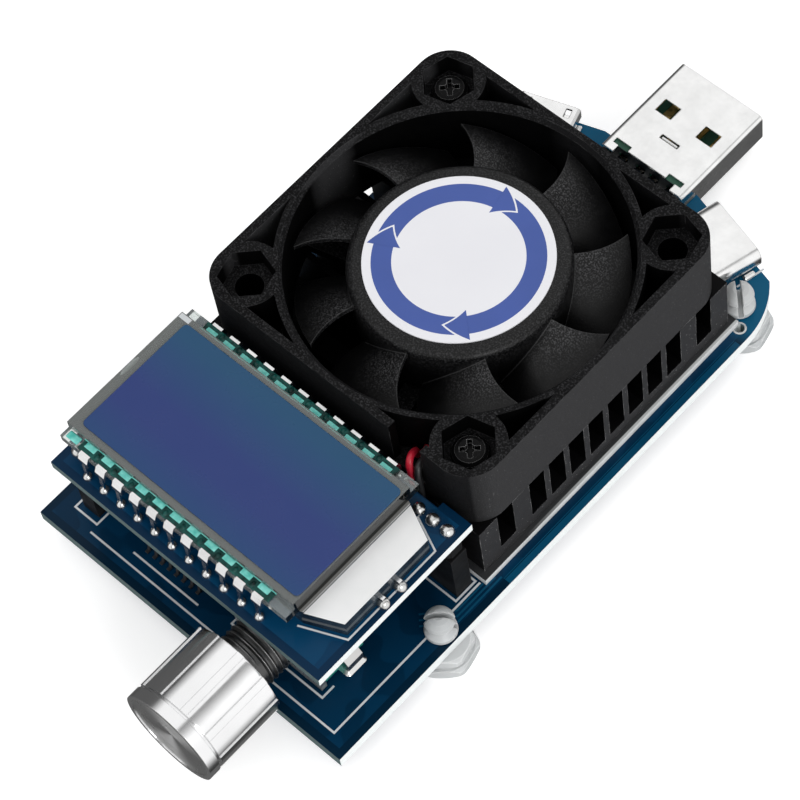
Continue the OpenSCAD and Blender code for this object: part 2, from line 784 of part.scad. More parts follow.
module backlight_pins() {
    color("#d7d9dc")
    for (y = light_pin_y) translate([0, y + 0.25, 0]) rotate([90, 0, 0]) linear_extrude(0.5) polygon([
        [backlight_end, z_disp_top + 1.5], [light_pin_x + 0.25, z_disp_top + 1.5],
        [light_pin_x + 0.25, z_disp - 0.8], [light_pin_x - 0.25, z_disp - 0.8],
        [light_pin_x - 0.25, z_disp_top + 1.2], [backlight_end, z_disp_top + 1.2]
    ]);
}

module lcd_rear_glass() {
    color("#7fc9bb", 0.6)
    translate([lcd_x - lcd_w / 2, lcd_y - rear_glass_d / 2, z_glass]) cube([lcd_w, rear_glass_d, glass_t]);
}

module lcd_front_glass() {
    color("#9fb8c4", 0.6)
    translate([lcd_x - lcd_w / 2, lcd_y - front_glass_d / 2, z_front_glass])
        cube([lcd_w, front_glass_d, glass_t]);
}

module lcd_polarizer() {
    color("#333c78")
    translate([0, 0, z_film]) linear_extrude(film_t)
        translate([lcd_x + (film_left - film_edge) / 2, lcd_y])
            round_rect(lcd_w - film_left - film_edge, front_glass_d - 2 * film_edge, 0.4);
}

// Clip pin on the edge of the rear glass: jaw above and below, then a leg into the board
module clip_pin(x) {
    edge = rear_glass_d / 2;
    jaw = 0.8;
    translate([x - clip_w / 2, 0, 0]) rotate([90, 0, 90]) linear_extrude(clip_w) polygon([
        [edge - jaw, z_front_glass], [edge - jaw, z_front_glass + clip_t],
        [edge + clip_t, z_front_glass + clip_t], [edge + leg_out, z_front_glass - 0.5],
        [edge + leg_out, z_glass - 0.1], [edge + clip_t, z_glass - clip_t], [edge - jaw, z_glass - clip_t],
        [edge - jaw, z_glass], [edge, z_glass], [edge, z_front_glass]
    ]);
    translate([x - leg_w / 2, 0, 0]) rotate([90, 0, 90]) linear_extrude(leg_w) polygon([
        [edge + clip_t, z_glass], [edge + leg_out, z_glass], [leg_y + 0.12, z_disp_top + leg_bend],
        [leg_y + 0.12, z_disp - 0.7], [leg_y - 0.13, z_disp - 0.7], [leg_y - 0.13, z_disp_top + leg_bend]
    ]);
}

module lcd_pins_front() {
    color("#d4d8da") translate([0, lcd_y, 0]) mirror([0, 1, 0]) for (x = pin_xs) clip_pin(x);
}

module lcd_pins_rear() {
    color("#d4d8da") translate([0, lcd_y, 0]) for (x = pin_xs) clip_pin(x);
}

// Plug shell: drawn steel tube with latch windows, a key slot and open rear corners
module plug_shell() {
    color("#d9dcdd")
    difference() {
        translate([0, plug_tip, plug_z + plug_h / 2]) rotate([90, 0, 0]) linear_extrude(plug_l) difference() {
            round_rect(plug_w, plug_h, plug_r);
            round_rect(plug_w - 2 * wall, plug_h - 2 * wall, plug_r - wall);
        }
        for (x = [-1, 1])
            translate([x * plug_window_at[0], plug_tip - plug_window_at[1], plug_z - plug_h])
                translate([-plug_window[0] / 2, 0, 0]) cube([plug_window[0], plug_window[1], 3 * plug_h]);
        translate([-plug_key[0] / 2, plug_tip - plug_key_at, plug_z + plug_h / 2])
            cube([plug_key[0], plug_key[1], plug_h]);
        translate([-plug_w / 2 + plug_prong_w, plug_rear - plug_cut, plug_z + plug_h / 2])
            cube([plug_w - 2 * plug_prong_w, 2 * plug_cut, plug_h]);
        for (x = [-1, 1])
            translate([x * plug_slot_x - plug_slot[0] / 2, plug_rear + plug_cut - eps, plug_z + plug_h / 2])
                cube([plug_slot[0], plug_slot[1], plug_h]);
    }
}

// Insulator: rear block with a tongue along the lower half of the shell
module plug_insulator() {
    inner_w = plug_w - 2 * wall - 2 * fit;
    color("#1f7a5a")
    difference() {
        union() {
            translate([-inner_w / 2 + 0.3, plug_rear + plug_cut, plug_z + wall])
                cube([inner_w - 0.6, plug_l - plug_cut - 0.5, plug_tongue_t]);
            translate([-inner_w / 2 + 0.3, plug_rear + plug_cut, plug_z + wall])
                cube([inner_w - 0.6, plug_block, plug_h - 2 * wall - fit]);
        }
        for (x = plug_contact_x)
            translate([x - plug_contact_w / 2 - 0.1, plug_rear - 1, plug_z + wall + plug_tongue_t])
                cube([plug_contact_w + 0.2, plug_block + 2, 0.9]);
    }
}

module plug_contacts() {
    low = plug_z + wall + plug_tongue_t;
    t = plug_contact_t;
    color("#d8b35a")
    for (x = plug_contact_x) translate([x - plug_contact_w / 2, 0, 0]) rotate([90, 0, 90])
        linear_extrude(plug_contact_w) polygon([
            [plug_tip - 1.2, low], [plug_tip - 1.2, low + t], [plug_rear + 1.2, low + t],
            [plug_rear + 0.6, z_top + t], [plug_rear - plug_tail, z_top + t], [plug_rear - plug_tail, z_top],
            [plug_rear + 0.4, z_top], [plug_rear + 0.9, low]
        ]);
}

module at_usbc() { translate([usbc_at[0], usbc_at[1], z_top]) rotate(-usbc_turn) children(); }

module usbc_shell() {
    r = usbc_h / 2 - 0.35;
    color("#d6d9db")
    at_usbc() translate([0, 0, usbc_h / 2]) rotate([90, 0, 0]) {
        linear_extrude(usbc_l) difference() {
            round_rect(usbc_w, usbc_h, r);
            round_rect(usbc_w - 2 * wall, usbc_h - 2 * wall, r - wall);
        }
        translate([0, 0, usbc_l - wall]) linear_extrude(wall) round_rect(usbc_w, usbc_h, r);
    }
}

module usbc_tongue() {
    color("#1b1b1d")
    at_usbc() {
        translate([-usbc_tongue_w / 2, -usbc_l + wall, (usbc_h - usbc_tongue_t) / 2])
            cube([usbc_tongue_w, usbc_l - wall - 0.6, usbc_tongue_t]);
        translate([-usbc_root[0] / 2, -usbc_l + wall, (usbc_h - usbc_root[2]) / 2]) cube(usbc_root);
    }
}

module at_micro() { translate([micro_at[0], micro_at[1], z_top]) rotate(micro_turn) children(); }

// Plan of the micro-USB mouth, narrow at the bottom
module micro_mouth(inset) {
    w = micro_w / 2 - inset;
    h = micro_h - inset;
    low = w - 0.9 + inset * 0.3;
    polygon([[-low, inset], [low, inset], [w, 0.9], [w, h - 0.3], [w - 0.3, h], [-w + 0.3, h], [-w, h - 0.3],
             [-w, 0.9]]);
}

module micro_usb_shell() {
    color("#d6d9db")
    at_micro() difference() {
        rotate([90, 0, 0]) linear_extrude(micro_l) micro_mouth(0);
        translate([0, eps, 0]) rotate([90, 0, 0]) linear_extrude(micro_l - wall + eps) micro_mouth(wall);
        for (x = [-1, 1])
            translate([x * micro_spring_x - micro_window[0] / 2, -micro_window[1] - 0.5, micro_h - 2 * wall])
                cube([micro_window[0], micro_window[1], 1]);
    }
}

module micro_usb_tongue() {
    color("#1b1b1d")
    at_micro() {
        translate([-micro_tongue[0] / 2, -micro_l + wall, micro_h / 2 + 0.15])
            cube([micro_tongue[0], micro_l - wall - 0.6, micro_tongue[1]]);
        translate([-micro_root[0] / 2, -micro_l + wall, (micro_h - micro_root[2]) / 2]) cube(micro_root);
    }
}

// Turns a profile of the encoder so that its axis runs along +Y
module on_axis(y) { translate([enc_x, y, enc_z]) rotate([-90, 0, 0]) children(); }

module encoder_body() {
    color("#1f9c8a")
    difference() {
        translate([enc_x - enc_w / 2, enc_front, enc_z - enc_h / 2]) cube([enc_w, enc_d, enc_h]);
        on_axis(enc_front - eps) cylinder(r = cavity_r, h = tail_step + push_travel + 1.2 - enc_front);
        on_axis(enc_front) cylinder(r = 2.8, h = dome_y + dome_t - enc_front);
        for (i = [0:enc_pin_n - 1])
            translate([enc_x + (i - (enc_pin_n - 1) / 2) * enc_pin_pitch, enc_back - enc_pin_in, enc_pin_z])
                translate([-enc_pin_w / 2, 0, 0]) cube([enc_pin_w, 2 * enc_pin_in, enc_pin_t]);
    }
}

// Folded steel bracket: front plate, side straps and bulged lugs into the board
module encoder_bracket() {
    color("#cfd2d4") {
        difference() {
            translate([enc_x - enc_w / 2 - lug_t, plate_front, enc_z - enc_h / 2])
                cube([enc_w + 2 * lug_t, plate_t, enc_h]);
            on_axis(plate_front - eps) cylinder(r = bushing_r, h = plate_t + 2 * eps);
        }
        for (side = [0, 1]) translate([enc_x, 0, 0]) mirror([side, 0, 0]) {
            translate([enc_w / 2, enc_front - eps, enc_z - lug_w]) cube([lug_t, enc_d - 1.2, 2 * lug_w]);
            translate([0, lug_y + lug_w / 2, 0]) rotate([90, 0, 0]) linear_extrude(lug_w) lug_profile();
        }
    }
}

// Lug seen along the board: strap, bulge and tip
module lug_profile() {
    top = enc_z + lug_w;
    x = enc_w / 2;
    polygon([
        [x, top], [x + lug_t, top], [x + lug_t, z_top + 3.4], [x + lug_t + lug_bulge, z_top + 2.3],
        [x + lug_t + lug_bulge, z_top + 1.3], [x + lug_t, z_top + 0.4], [x + lug_t, z_board - 1],
        [x, z_board - 1], [x, z_top + 0.6], [x + lug_bulge, z_top + 1.5], [x + lug_bulge, z_top + 2.1],
        [x, z_top + 3.2]
    ]);
}

module encoder_bushing() {
    color("#6f7276")
    difference() {
        union() {
            on_axis(bushing_end) cylinder(r = bushing_r, h = enc_front - bushing_end);
            on_axis(enc_front) cylinder(r = cavity_r - 0.2, h = bushing_flange_t);
        }
        on_axis(bushing_end - eps) cylinder(r = shaft_r + slip, h = enc_front - bushing_end + 2);
    }
}

module encoder_pins() {
    color("#d3b26a")
    for (i = [0:enc_pin_n - 1])
        translate([enc_x + (i - (enc_pin_n - 1) / 2) * enc_pin_pitch - enc_pin_w / 2, 0, 0])
            rotate([90, 0, 90]) linear_extrude(enc_pin_w) polygon([
                [enc_back - enc_pin_in, enc_pin_z], [enc_back - enc_pin_in, enc_pin_z + enc_pin_t],
                [enc_pin_y + 0.2, enc_pin_z + enc_pin_t], [enc_pin_y + 0.2, z_board - tail_out],
                [enc_pin_y - 0.2, z_board - tail_out], [enc_pin_y - 0.2, enc_pin_z]
            ]);
}

module encoder_switch_dome() {
    color("#c7cbce") on_axis(dome_y) cylinder(r = 2.6, h = dome_t);
}

// Plan of a round tail with one flat
module flat_round(r, flat) {
    intersection() {
        circle(r);
        translate([-r, -r]) square([2 * r, r + flat]);
    }
}

module encoder_wiper() {
    color("#26262a")
    on_axis(wiper_front) linear_extrude(wiper_t) difference() {
        circle(wiper_r);
        flat_round(tail_r + slip, flat_at + slip);
    }
}

module encoder_shaft() {
    color("#c9ccce") {
        on_axis(shaft_end) linear_extrude(knob_rear - 1 - shaft_end) flat_round(shaft_r, shaft_flat_at);
        on_axis(knob_rear - 1) cylinder(r = shaft_r, h = tail_step - knob_rear + 1);
        on_axis(tail_step - eps) linear_extrude(tail_end - tail_step + eps) flat_round(tail_r, flat_at);
    }
}

// Section of the knob's grip: round with thin raised ribs
module grip_plan() {
    circle(knob_r);
    intersection() {
        circle(knob_d / 2);
        for (i = [0:knob_ribs - 1]) rotate(360 * i / knob_ribs + rib_phase)
            translate([knob_r - 1, -rib_w / 2]) square([2, rib_w]);
    }
}

// Knob's turned shell: ribbed grip, groove and front collar
module knob_shell() {
    color("#dcdfe0")
    difference() {
        union() {
            on_axis(knob_front) cylinder(r = knob_d / 2, h = collar_l);
            on_axis(knob_front + eps) cylinder(r = knob_r - 0.3, h = knob_l - 2 * eps);
            on_axis(knob_front + collar_l + groove_w)
                linear_extrude(knob_l - collar_l - groove_w) grip_plan();
        }
        on_axis(knob_front - eps) cylinder(r = disc_r, h = disc_sunk + disc_t + eps);
        on_axis(knob_front + disc_sunk + disc_t - eps) cylinder(r = skirt_r, h = knob_l);
    }
}

module knob_core() {
    color("#2a2a2d")
    difference() {
        on_axis(knob_front + disc_sunk + disc_t)
            cylinder(r = skirt_r, h = knob_l - skirt_l - disc_sunk - disc_t);
        on_axis(shaft_end - 0.2) linear_extrude(knob_l) flat_round(shaft_r + fit, shaft_flat_at + fit);
        on_axis(knob_rear - 1 - 0.2 - skirt_l) cylinder(r = shaft_r + 0.3, h = knob_l);
    }
}

module knob_disc() {
    color("#b9bdc0")
    on_axis(knob_front + disc_sunk) difference() {
        cylinder(r = disc_r, h = disc_t);
        translate([0, 0, -0.3 - eps]) cylinder(r1 = disc_r - 0.1, r2 = 0.2, h = 0.6);
    }
}

// Hexagonal tier of a foot with its corners turned off
module foot_tier(r, h, turn) {
    intersection() {
        linear_extrude(h) rotate(turn) hexagon(r);
        rotate_extrude() polygon([
            [0, 0], [r - 0.5, 0], [r - 0.15, 0.35], [r - 0.15, h - 0.35], [r - 0.5, h], [0, h]
        ]);
    }
}

// Nylon foot: two-tier base, neck through the board and a head split into two barbed prongs
module foot(x, y, turn, split_turn) {
    color("#e9ebea", 0.85)
    translate([x, y, 0]) {
        foot_tier(foot_r, foot_step + eps, turn);
        translate([0, 0, foot_step]) foot_tier(foot_r - 0.45, z_board - foot_step, turn);
        translate([0, 0, z_board - eps]) cylinder(r = foot_neck_r, h = board_t + 2 * eps);
        translate([0, 0, z_top]) difference() {
            rotate_extrude() polygon([
                [0, 0], [foot_neck_r, 0], [head_r - 0.1, 0.15], [head_r, 0.4], [head_r - 0.05, 0.9],
                [head_r - 0.7, 1.6], [head_r - 0.7, 1.8], [head_r - 0.25, 2.2], [head_r - 0.15, 2.55],
                [head_r - 0.3, 3], [head_r - 0.7, 3.5], [head_r - 1.2, head_h], [0, head_h]
            ]);
            rotate(split_turn) translate([-2 * head_r, -split_w / 2, 0.5]) cube([4 * head_r, split_w, head_h]);
        }
    }
}

module foot_front_left() { foot(-front_foot[0], front_foot[1], -foot_turn, -foot_turn); }

module foot_front_right() { foot(front_foot[0], front_foot[1], foot_turn, foot_turn); }

module foot_rear_left() { foot(-rear_foot[0], rear_foot[1], -foot_turn, foot_turn); }

module foot_rear_right() { foot(rear_foot[0], rear_foot[1], foot_turn, -foot_turn); }

// Flat chip with gull-wing leads on its two long sides
module chip(size, leads, lead_pitch, reach) {
    translate([-size[0] / 2, -size[1] / 2, 0.1]) cube([size[0], size[1], size[2]]);
    for (i = [0:leads - 1], s = [0, 1]) mirror([0, s, 0])
        translate([(i - (leads - 1) / 2) * lead_pitch - 0.2, 0, 0]) rotate([90, 0, 90]) linear_extrude(0.4)
            polygon([[size[1] / 2, 0.6], [size[1] / 2, 0.8], [size[1] / 2 + reach * 0.5, 0.8],
                     [size[1] / 2 + reach * 0.6, 0.2], [size[1] / 2 + reach, 0.2], [size[1] / 2 + reach, 0],
                     [size[1] / 2 + reach * 0.45, 0], [size[1] / 2 + reach * 0.35, 0.6]]);
}

module microcontroller() {
    color("#1b1c1e") translate([mcu_at[0], mcu_at[1], z_top]) chip(mcu_size, mcu_leads, mcu_pitch, chip_reach);
}

// Mounts a chip upside down on the board's underside
module below(x, y) { translate([x, y, z_board]) rotate([180, 0, 0]) children(); }

// Power package: plastic block on a metal tab with two leads
module power_package() {
    w = power_size[0];
    d = power_size[1];
    translate([-w / 2, -d / 2, tab_t]) cube(power_size);
    translate([-w / 2 + 0.6, -d / 2, 0]) cube([w - 1.2, d + 1, tab_t]);
    for (x = [-1, 1]) translate([x * (w / 2 - 0.9) - 0.35, -d / 2 - 2.4, 0]) cube([0.7, 3, tab_t]);
}

module power_mosfets() {
    color("#1d1e20") for (x = [-1, 1]) below(x * power_x, 0) power_package();
}

module shunt_resistors() {
    color("#2b2c2e") for (x = [-1, 1]) below(x * shunt_x, cooler_w / 2 - 6)
        translate([-shunt_size[0] / 2, -shunt_size[1] / 2, 0]) cube(shunt_size);
}

module op_amp() {
    color("#1b1c1e") below(-under_chip_at[0], under_chip_at[1])
        chip(op_amp_size, op_amp_leads, op_amp_pitch, chip_reach);
}

module voltage_regulator() {
    w = regulator_size[0];
    d = regulator_size[1];
    color("#1b1c1e") below(under_chip_at[0], under_chip_at[1]) {
        translate([-w / 2, -d / 2, 0.1]) cube(regulator_size);
        translate([-w / 4, d / 2 - eps, 0]) cube([w / 2, 1.7, tab_t]);
        for (x = [-1, 0, 1]) translate([x * (w / 2 - 0.95) - 0.35, -d / 2 - 1.65, 0])
            cube([0.7, 1.65 + eps, tab_t]);
    }
}

seat() main_board();
seat() thermal_pad();
seat() heat_sink();
seat() fan_frame();
seat() fan_bearing();
seat() stator_core();
seat() stator_coils();
seat() motor_board();
seat() fan_screws();
seat() fan_lead_red();
seat() fan_lead_black();
seat() fan_rotor();
seat() rotor_yoke();
seat() rotor_magnet();
seat() rotor_spindle();
seat() hub_label();
seat() display_board();
seat() socket_left();
seat() socket_right();
seat() socket_contacts();
seat() header_left();
seat() header_right();
seat() header_pins();
seat() backlight();
seat() backlight_pins();
seat() lcd_rear_glass();
seat() lcd_front_glass();
seat() lcd_polarizer();
seat() lcd_pins_front();
seat() lcd_pins_rear();
seat() plug_shell();
seat() plug_insulator();
seat() plug_contacts();
seat() usbc_shell();
seat() usbc_tongue();
seat() micro_usb_shell();
seat() micro_usb_tongue();
seat() encoder_body();
seat() encoder_bracket();
seat() encoder_bushing();
seat() encoder_pins();
seat() encoder_switch_dome();
seat() encoder_wiper();
seat() encoder_shaft();
seat() knob_shell();
seat() knob_core();
seat() knob_disc();
seat() foot_front_left();
seat() foot_front_right();
seat() foot_rear_left();
seat() foot_rear_right();
seat() microcontroller();
seat() power_mosfets();
seat() shunt_resistors();
seat() op_amp();
seat() voltage_regulator();
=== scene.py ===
import bmesh
import bpy
import numpy as np
from mathutils import Matrix, Vector


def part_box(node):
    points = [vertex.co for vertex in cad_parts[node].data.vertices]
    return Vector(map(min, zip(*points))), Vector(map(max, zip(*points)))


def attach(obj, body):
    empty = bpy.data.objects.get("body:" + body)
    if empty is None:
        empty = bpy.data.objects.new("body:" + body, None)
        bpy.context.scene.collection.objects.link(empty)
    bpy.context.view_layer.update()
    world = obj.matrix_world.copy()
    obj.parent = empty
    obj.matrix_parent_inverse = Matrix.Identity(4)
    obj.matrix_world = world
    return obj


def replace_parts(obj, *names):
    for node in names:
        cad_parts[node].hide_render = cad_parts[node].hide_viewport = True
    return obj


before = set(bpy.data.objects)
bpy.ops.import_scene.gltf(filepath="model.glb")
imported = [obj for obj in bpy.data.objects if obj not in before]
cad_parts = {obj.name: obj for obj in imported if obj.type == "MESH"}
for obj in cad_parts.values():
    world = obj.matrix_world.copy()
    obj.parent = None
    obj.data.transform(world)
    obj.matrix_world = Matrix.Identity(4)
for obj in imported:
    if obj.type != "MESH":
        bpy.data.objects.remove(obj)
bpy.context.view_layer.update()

# Main board: a sheet of glass laminate under glossy blue solder mask, its side edges painted light and its
# front and back edges painted shade.
# It carries every other piece. White legend and the tinned rings of a plated hole lie on it as thin
# layers. Places in plan are in millimetres right of and behind the fan's axis.
mm = 0.001
fan_low, fan_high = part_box("fan_frame")
axis_y = (fan_low.y + fan_high.y) / 2
board_low, board_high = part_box("main_board")
board_top = board_high.z
board_under = board_low.z


def finish(name, colour, roughness, metallic=0.0):
    """Node material with one Principled shader: gives the material, its node tree and the shader."""
    material = bpy.data.materials.new(name)
    material.use_nodes = True
    shader = shader_of(material)
    shader.inputs["Base Color"].default_value = (*colour, 1)
    shader.inputs["Roughness"].default_value = roughness
    shader.inputs["Metallic"].default_value = metallic
    return material, material.node_tree, shader


def shader_of(material):
    """The Principled shader of a material."""
    return material.node_tree.nodes["Principled BSDF"]


def add_node(tree, kind, feeds=None, **settings):
    """New shader node with its settings; feeds give its inputs a value, or a socket that drives them.
    Gives the node's outputs."""
    node = tree.nodes.new("ShaderNode" + kind)
    for name, value in settings.items():
        setattr(node, name, value)
    for name, source in (feeds or {}).items():
        if isinstance(source, bpy.types.NodeSocket):
            tree.links.new(source, node.inputs[name])
        else:
            node.inputs[name].default_value = source
    return node.outputs


def mapped(tree, location=(0, 0, 0), scale=(1, 1, 1)):
    """Object coordinates scaled along the axes and moved."""
    coords = add_node(tree, "TexCoord")["Object"]
    return add_node(tree, "Mapping", {"Vector": coords, "Location": location, "Scale": scale})["Vector"]


def mottle(tree, scale, detail=4.0, stretch=(1, 1, 1)):
    """Cloudy noise on Object coordinates, with so many cells a metre, stretched along the axes."""
    coords = mapped(tree, scale=stretch)
    return add_node(tree, "TexNoise", {"Vector": coords, "Scale": scale, "Detail": detail})["Fac"]


def span(tree, factor, low, high, start=0.3, stop=0.7):
    """Carries a factor from start..stop over to low..high."""
    ends = {"From Min": start, "From Max": stop, "To Min": low, "To Max": high}
    return add_node(tree, "MapRange", {"Value": factor, **ends})["Result"]


def blend_colours(tree, factor, first, second):
    """Mix of two colours, or of a colour and another mix, by a factor from 0 to 1."""
    first, second = ((*c, 1) if isinstance(c, tuple) else c for c in (first, second))
    return add_node(tree, "Mix", {"Factor": factor, 6: first, 7: second}, data_type="RGBA")[2]


def rounded_normal(tree, radius):
    """The surface's normal, turned smoothly over edges within the radius."""
    return add_node(tree, "Bevel", {"Radius": radius}, samples=4)["Normal"]


def relief(tree, shader, factor, depth, edge=0.0):
    """Surface relief of a given depth from a factor, over edges rounded by a given radius."""
    feeds = {"Distance": depth, "Strength": 1.0, "Height": factor}
    if edge:
        feeds["Normal"] = rounded_normal(tree, edge)
    tree.links.new(add_node(tree, "Bump", feeds)["Normal"], shader.inputs["Normal"])


def coat(tree, shader, colour, gloss, grain, depth, edge=0.0):
    """Drives a shader by a colour, a roughness, and a grain that gives relief of some depth."""
    tree.links.new(colour, shader.inputs["Base Color"])
    tree.links.new(gloss, shader.inputs["Roughness"])
    relief(tree, shader, grain, depth, edge)


def wear_and_glint_edges(tree, radius):
    """1 along edges within the radius, where wear and painted glints brighten a surface, and 0 on open faces.
    """
    feeds = {0: add_node(tree, "NewGeometry")["Normal"], 1: rounded_normal(tree, radius)}
    return span(tree, add_node(tree, "VectorMath", feeds, operation="DOT_PRODUCT")["Value"], 1, 0, 0.88, 0.99)


def worn(name, dark, light, rough_low, rough_high, cell, depth, edge=0.0, stretch=(1, 1, 1), edge_wear_and_glint=None,
         metal=0.0, shine=0.5):
    """Material of an everyday surface: tint in patches 40 cells wide, gloss in patches 9 cells wide, relief
    one cell wide and, where an edge colour is given, edges brightened by wear and by painted glints."""
    material, tree, shader = finish(name, light, rough_high, metal)
    shader.inputs["Specular IOR Level"].default_value = shine
    tint = span(tree, mottle(tree, 1 / (40 * cell)), 0, 1)
    colour = blend_colours(tree, tint, dark, light)
    if edge_wear_and_glint:
        colour = blend_colours(tree, wear_and_glint_edges(tree, edge), colour, edge_wear_and_glint)
    gloss = span(tree, mottle(tree, 1 / (9 * cell), 5), rough_low, rough_high)
    coat(tree, shader, colour, gloss, mottle(tree, 1 / cell, 3, stretch), depth, edge)
    return material


def dress(material, *nodes):
    """Gives CAD nodes a material in place of their plain one."""
    for node in nodes:
        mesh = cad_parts[node].data
        mesh.materials.clear()
        mesh.materials.append(material)


def place(tree):
    """X, Y and Z of the surface point in metres, as separate factors."""
    return add_node(tree, "SeparateXYZ", {"Vector": add_node(tree, "TexCoord")["Object"]})


def from_centre(tree, centre):
    """How far the surface point lies from a centre along X, Y and Z, the same on both sides of it."""
    size = add_node(tree, "VectorMath", {0: mapped(tree, -centre)}, operation="ABSOLUTE")["Vector"]
    return add_node(tree, "SeparateXYZ", {"Vector": size})


def facing(tree, axis, start=0.4, stop=0.6):
    """1 on faces that look along an axis, either way, and 0 on those that stand across it."""
    normal = add_node(tree, "NewGeometry")["True Normal"]
    part = add_node(tree, "SeparateXYZ", {"Vector": normal})[axis]
    return span(tree, add_node(tree, "Math", {0: part}, operation="ABSOLUTE")["Value"], 0, 1, start, stop)


def product(tree, first, second):
    """Two factors multiplied."""
    return add_node(tree, "Math", {0: first, 1: second}, operation="MULTIPLY")["Value"]


def solder_mask(name, bare, dark, light, low, high, lit_patch=None):
    """Glossy blue mask, lighter over copper pours that stop 0.9 mm short of the board's straight edges.
    Edges that face X are painted pale with fibre streaks as painted light; edges that face Y are painted dark
    as painted shade.
    A lit patch is a colour and the Y behind which the mask takes that colour as painted light."""
    material, tree, shader = finish(name, dark, 0.3)
    shader.inputs["Specular IOR Level"].default_value = 0.1
    pour_gap = 0.9 * mm
    soft = 0.05 * mm
    pour = (high - low) / 2 - Vector((pour_gap, pour_gap, 0))
    off_middle = from_centre(tree, (low + high) / 2)
    within_x = span(tree, off_middle["X"], 1, 0, pour.x - soft, pour.x)
    within_y = span(tree, off_middle["Y"], 1, 0, pour.y - soft, pour.y)
    copper = span(tree, mottle(tree, 260, 0), 0, 1, 0.47, 0.5)
    poured = blend_colours(tree, copper, dark, light)
    mask = blend_colours(tree, product(tree, within_x, within_y), bare, poured)
    # Painted light: behind a line in Y the mask is lightened to a brighter blue.
    if lit_patch:
        lit_patch_colour, lit_patch_y = lit_patch
        lit_patch_mask = span(tree, place(tree)["Y"], 0, 1, lit_patch_y, lit_patch_y + 2 * mm)
        mask = blend_colours(tree, lit_patch_mask, mask, lit_patch_colour)
    fibre = mottle(tree, 2500, 2, (1, 1, 6))
    # Painted light and shade on the edges: pale where they face X, dark where they face Y.
    lit_edge = blend_colours(tree, fibre, (0.6, 0.64, 0.64), (0.88, 0.9, 0.9))
    shaded_edge = blend_colours(tree, fibre, (0.03, 0.06, 0.065), (0.14, 0.19, 0.19))
    edge_tone = blend_colours(tree, facing(tree, "X"), shaded_edge, lit_edge)
    up = facing(tree, "Z")
    tone = blend_colours(tree, up, edge_tone, mask)
    coat(tree, shader, tone, span(tree, up, 0.65, 0.26, 0, 1), mottle(tree, 900, 2), 0.000006, 0.0001)
    return material


# Painted light on the main board's rear part, a lighter blue behind a line 19 mm behind the fan's axis.
rear_painted_light = ((0.004, 0.092, 0.185), axis_y + 19 * mm)
board_blue = solder_mask("solder_mask_blue", (0.0008, 0.016, 0.038), (0.0008, 0.023, 0.058),
                         (0.0014, 0.031, 0.077), board_low, board_high, rear_painted_light)
dress(board_blue, "main_board")


def surface(grids, closed_round):
    """Points and quads of one or more grids, each rows x columns x 3, every point joined to the next
    in both directions and, where the grid closes round, the last column to the first."""
    points = []
    quads = []
    start = 0
    for grid in grids:
        rows, columns = grid.shape[:2]
        index = start + np.arange(rows * columns).reshape(rows, columns)
        if closed_round:
            index = np.concatenate([index, index[:, :1]], axis=1)
        corners = [index[:-1, :-1], index[1:, :-1], index[1:, 1:], index[:-1, 1:]]
        quads.append(np.stack(corners, axis=-1).reshape(-1, 4))
        points.append(grid.reshape(-1, 3))
        start += rows * columns
    return np.concatenate(points), np.concatenate(quads)


def piece(name, grids, material, body="base", crease=40, closed_round=True):
    """New piece from grids of points: doubles at poles and seams merged, faces turned outwards."""
    points, quads = surface(grids, closed_round)
    mesh = bpy.data.meshes.new(name)
    mesh.from_pydata(points.tolist(), [], quads.tolist())
    work = bmesh.new()
    work.from_mesh(mesh)
    bmesh.ops.remove_doubles(work, verts=work.verts, dist=1e-7)
    bmesh.ops.recalc_face_normals(work, faces=work.faces)
    work.to_mesh(mesh)
    work.free()
    mesh.polygons.foreach_set("use_smooth", np.ones(len(mesh.polygons), bool))
    mesh.set_sharp_from_angle(angle=np.radians(crease))
    mesh.materials.append(material)
    made = bpy.data.objects.new(name, mesh)
    bpy.context.scene.collection.objects.link(made)
    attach(made, body)
    return made


def unit(rows):
    """Rows of an array scaled to length 1."""
    return rows / np.linalg.norm(rows, axis=1, keepdims=True)


def capped(grid):
    """A grid with its first and last rows closed to their middles."""
    ends = grid.mean(axis=1, keepdims=True).repeat(grid.shape[1], axis=1)
    return np.concatenate([ends[:1], grid, ends[-1:]])


ink_rise = 0.02


def ribbon(corners, width, z, height=ink_rise, closed=False):
    """Flat printed line: a small rectangle carried along a mitred path of corners. At a corner its half
    width runs along the mean of both directions' normals, lengthened so that both sides stay parallel."""
    path = np.array(corners, float)
    ahead = np.roll(path, -1, axis=0) - path
    behind = path - np.roll(path, 1, axis=0)
    if not closed:
        ahead[-1] = behind[-1]
        behind[0] = ahead[0]
    ahead = unit(ahead)
    side = unit(ahead + unit(behind))
    side = np.stack([-side[:, 1], side[:, 0]], axis=1)
    across = ahead[:, ::-1] * [-1, 1]
    side /= np.sum(side * across, axis=1, keepdims=True)
    left = path + side * width / 2
    right = path - side * width / 2
    low = np.full(len(path), z)
    high = low + height * mm
    ring = [(left, low), (left, high), (right, high), (right, low)]
    grid = np.stack([np.column_stack([p[:, 0] * mm, axis_y + p[:, 1] * mm, h]) for p, h in ring], axis=1)
    return np.concatenate([grid, grid[:1]]) if closed else capped(grid)


def frame_line(x0, y0, x1, y1, width, z):
    """Closed rectangular printed line between two corners."""
    return ribbon([(x0, y0), (x1, y0), (x1, y1), (x0, y1)], width, z, closed=True)


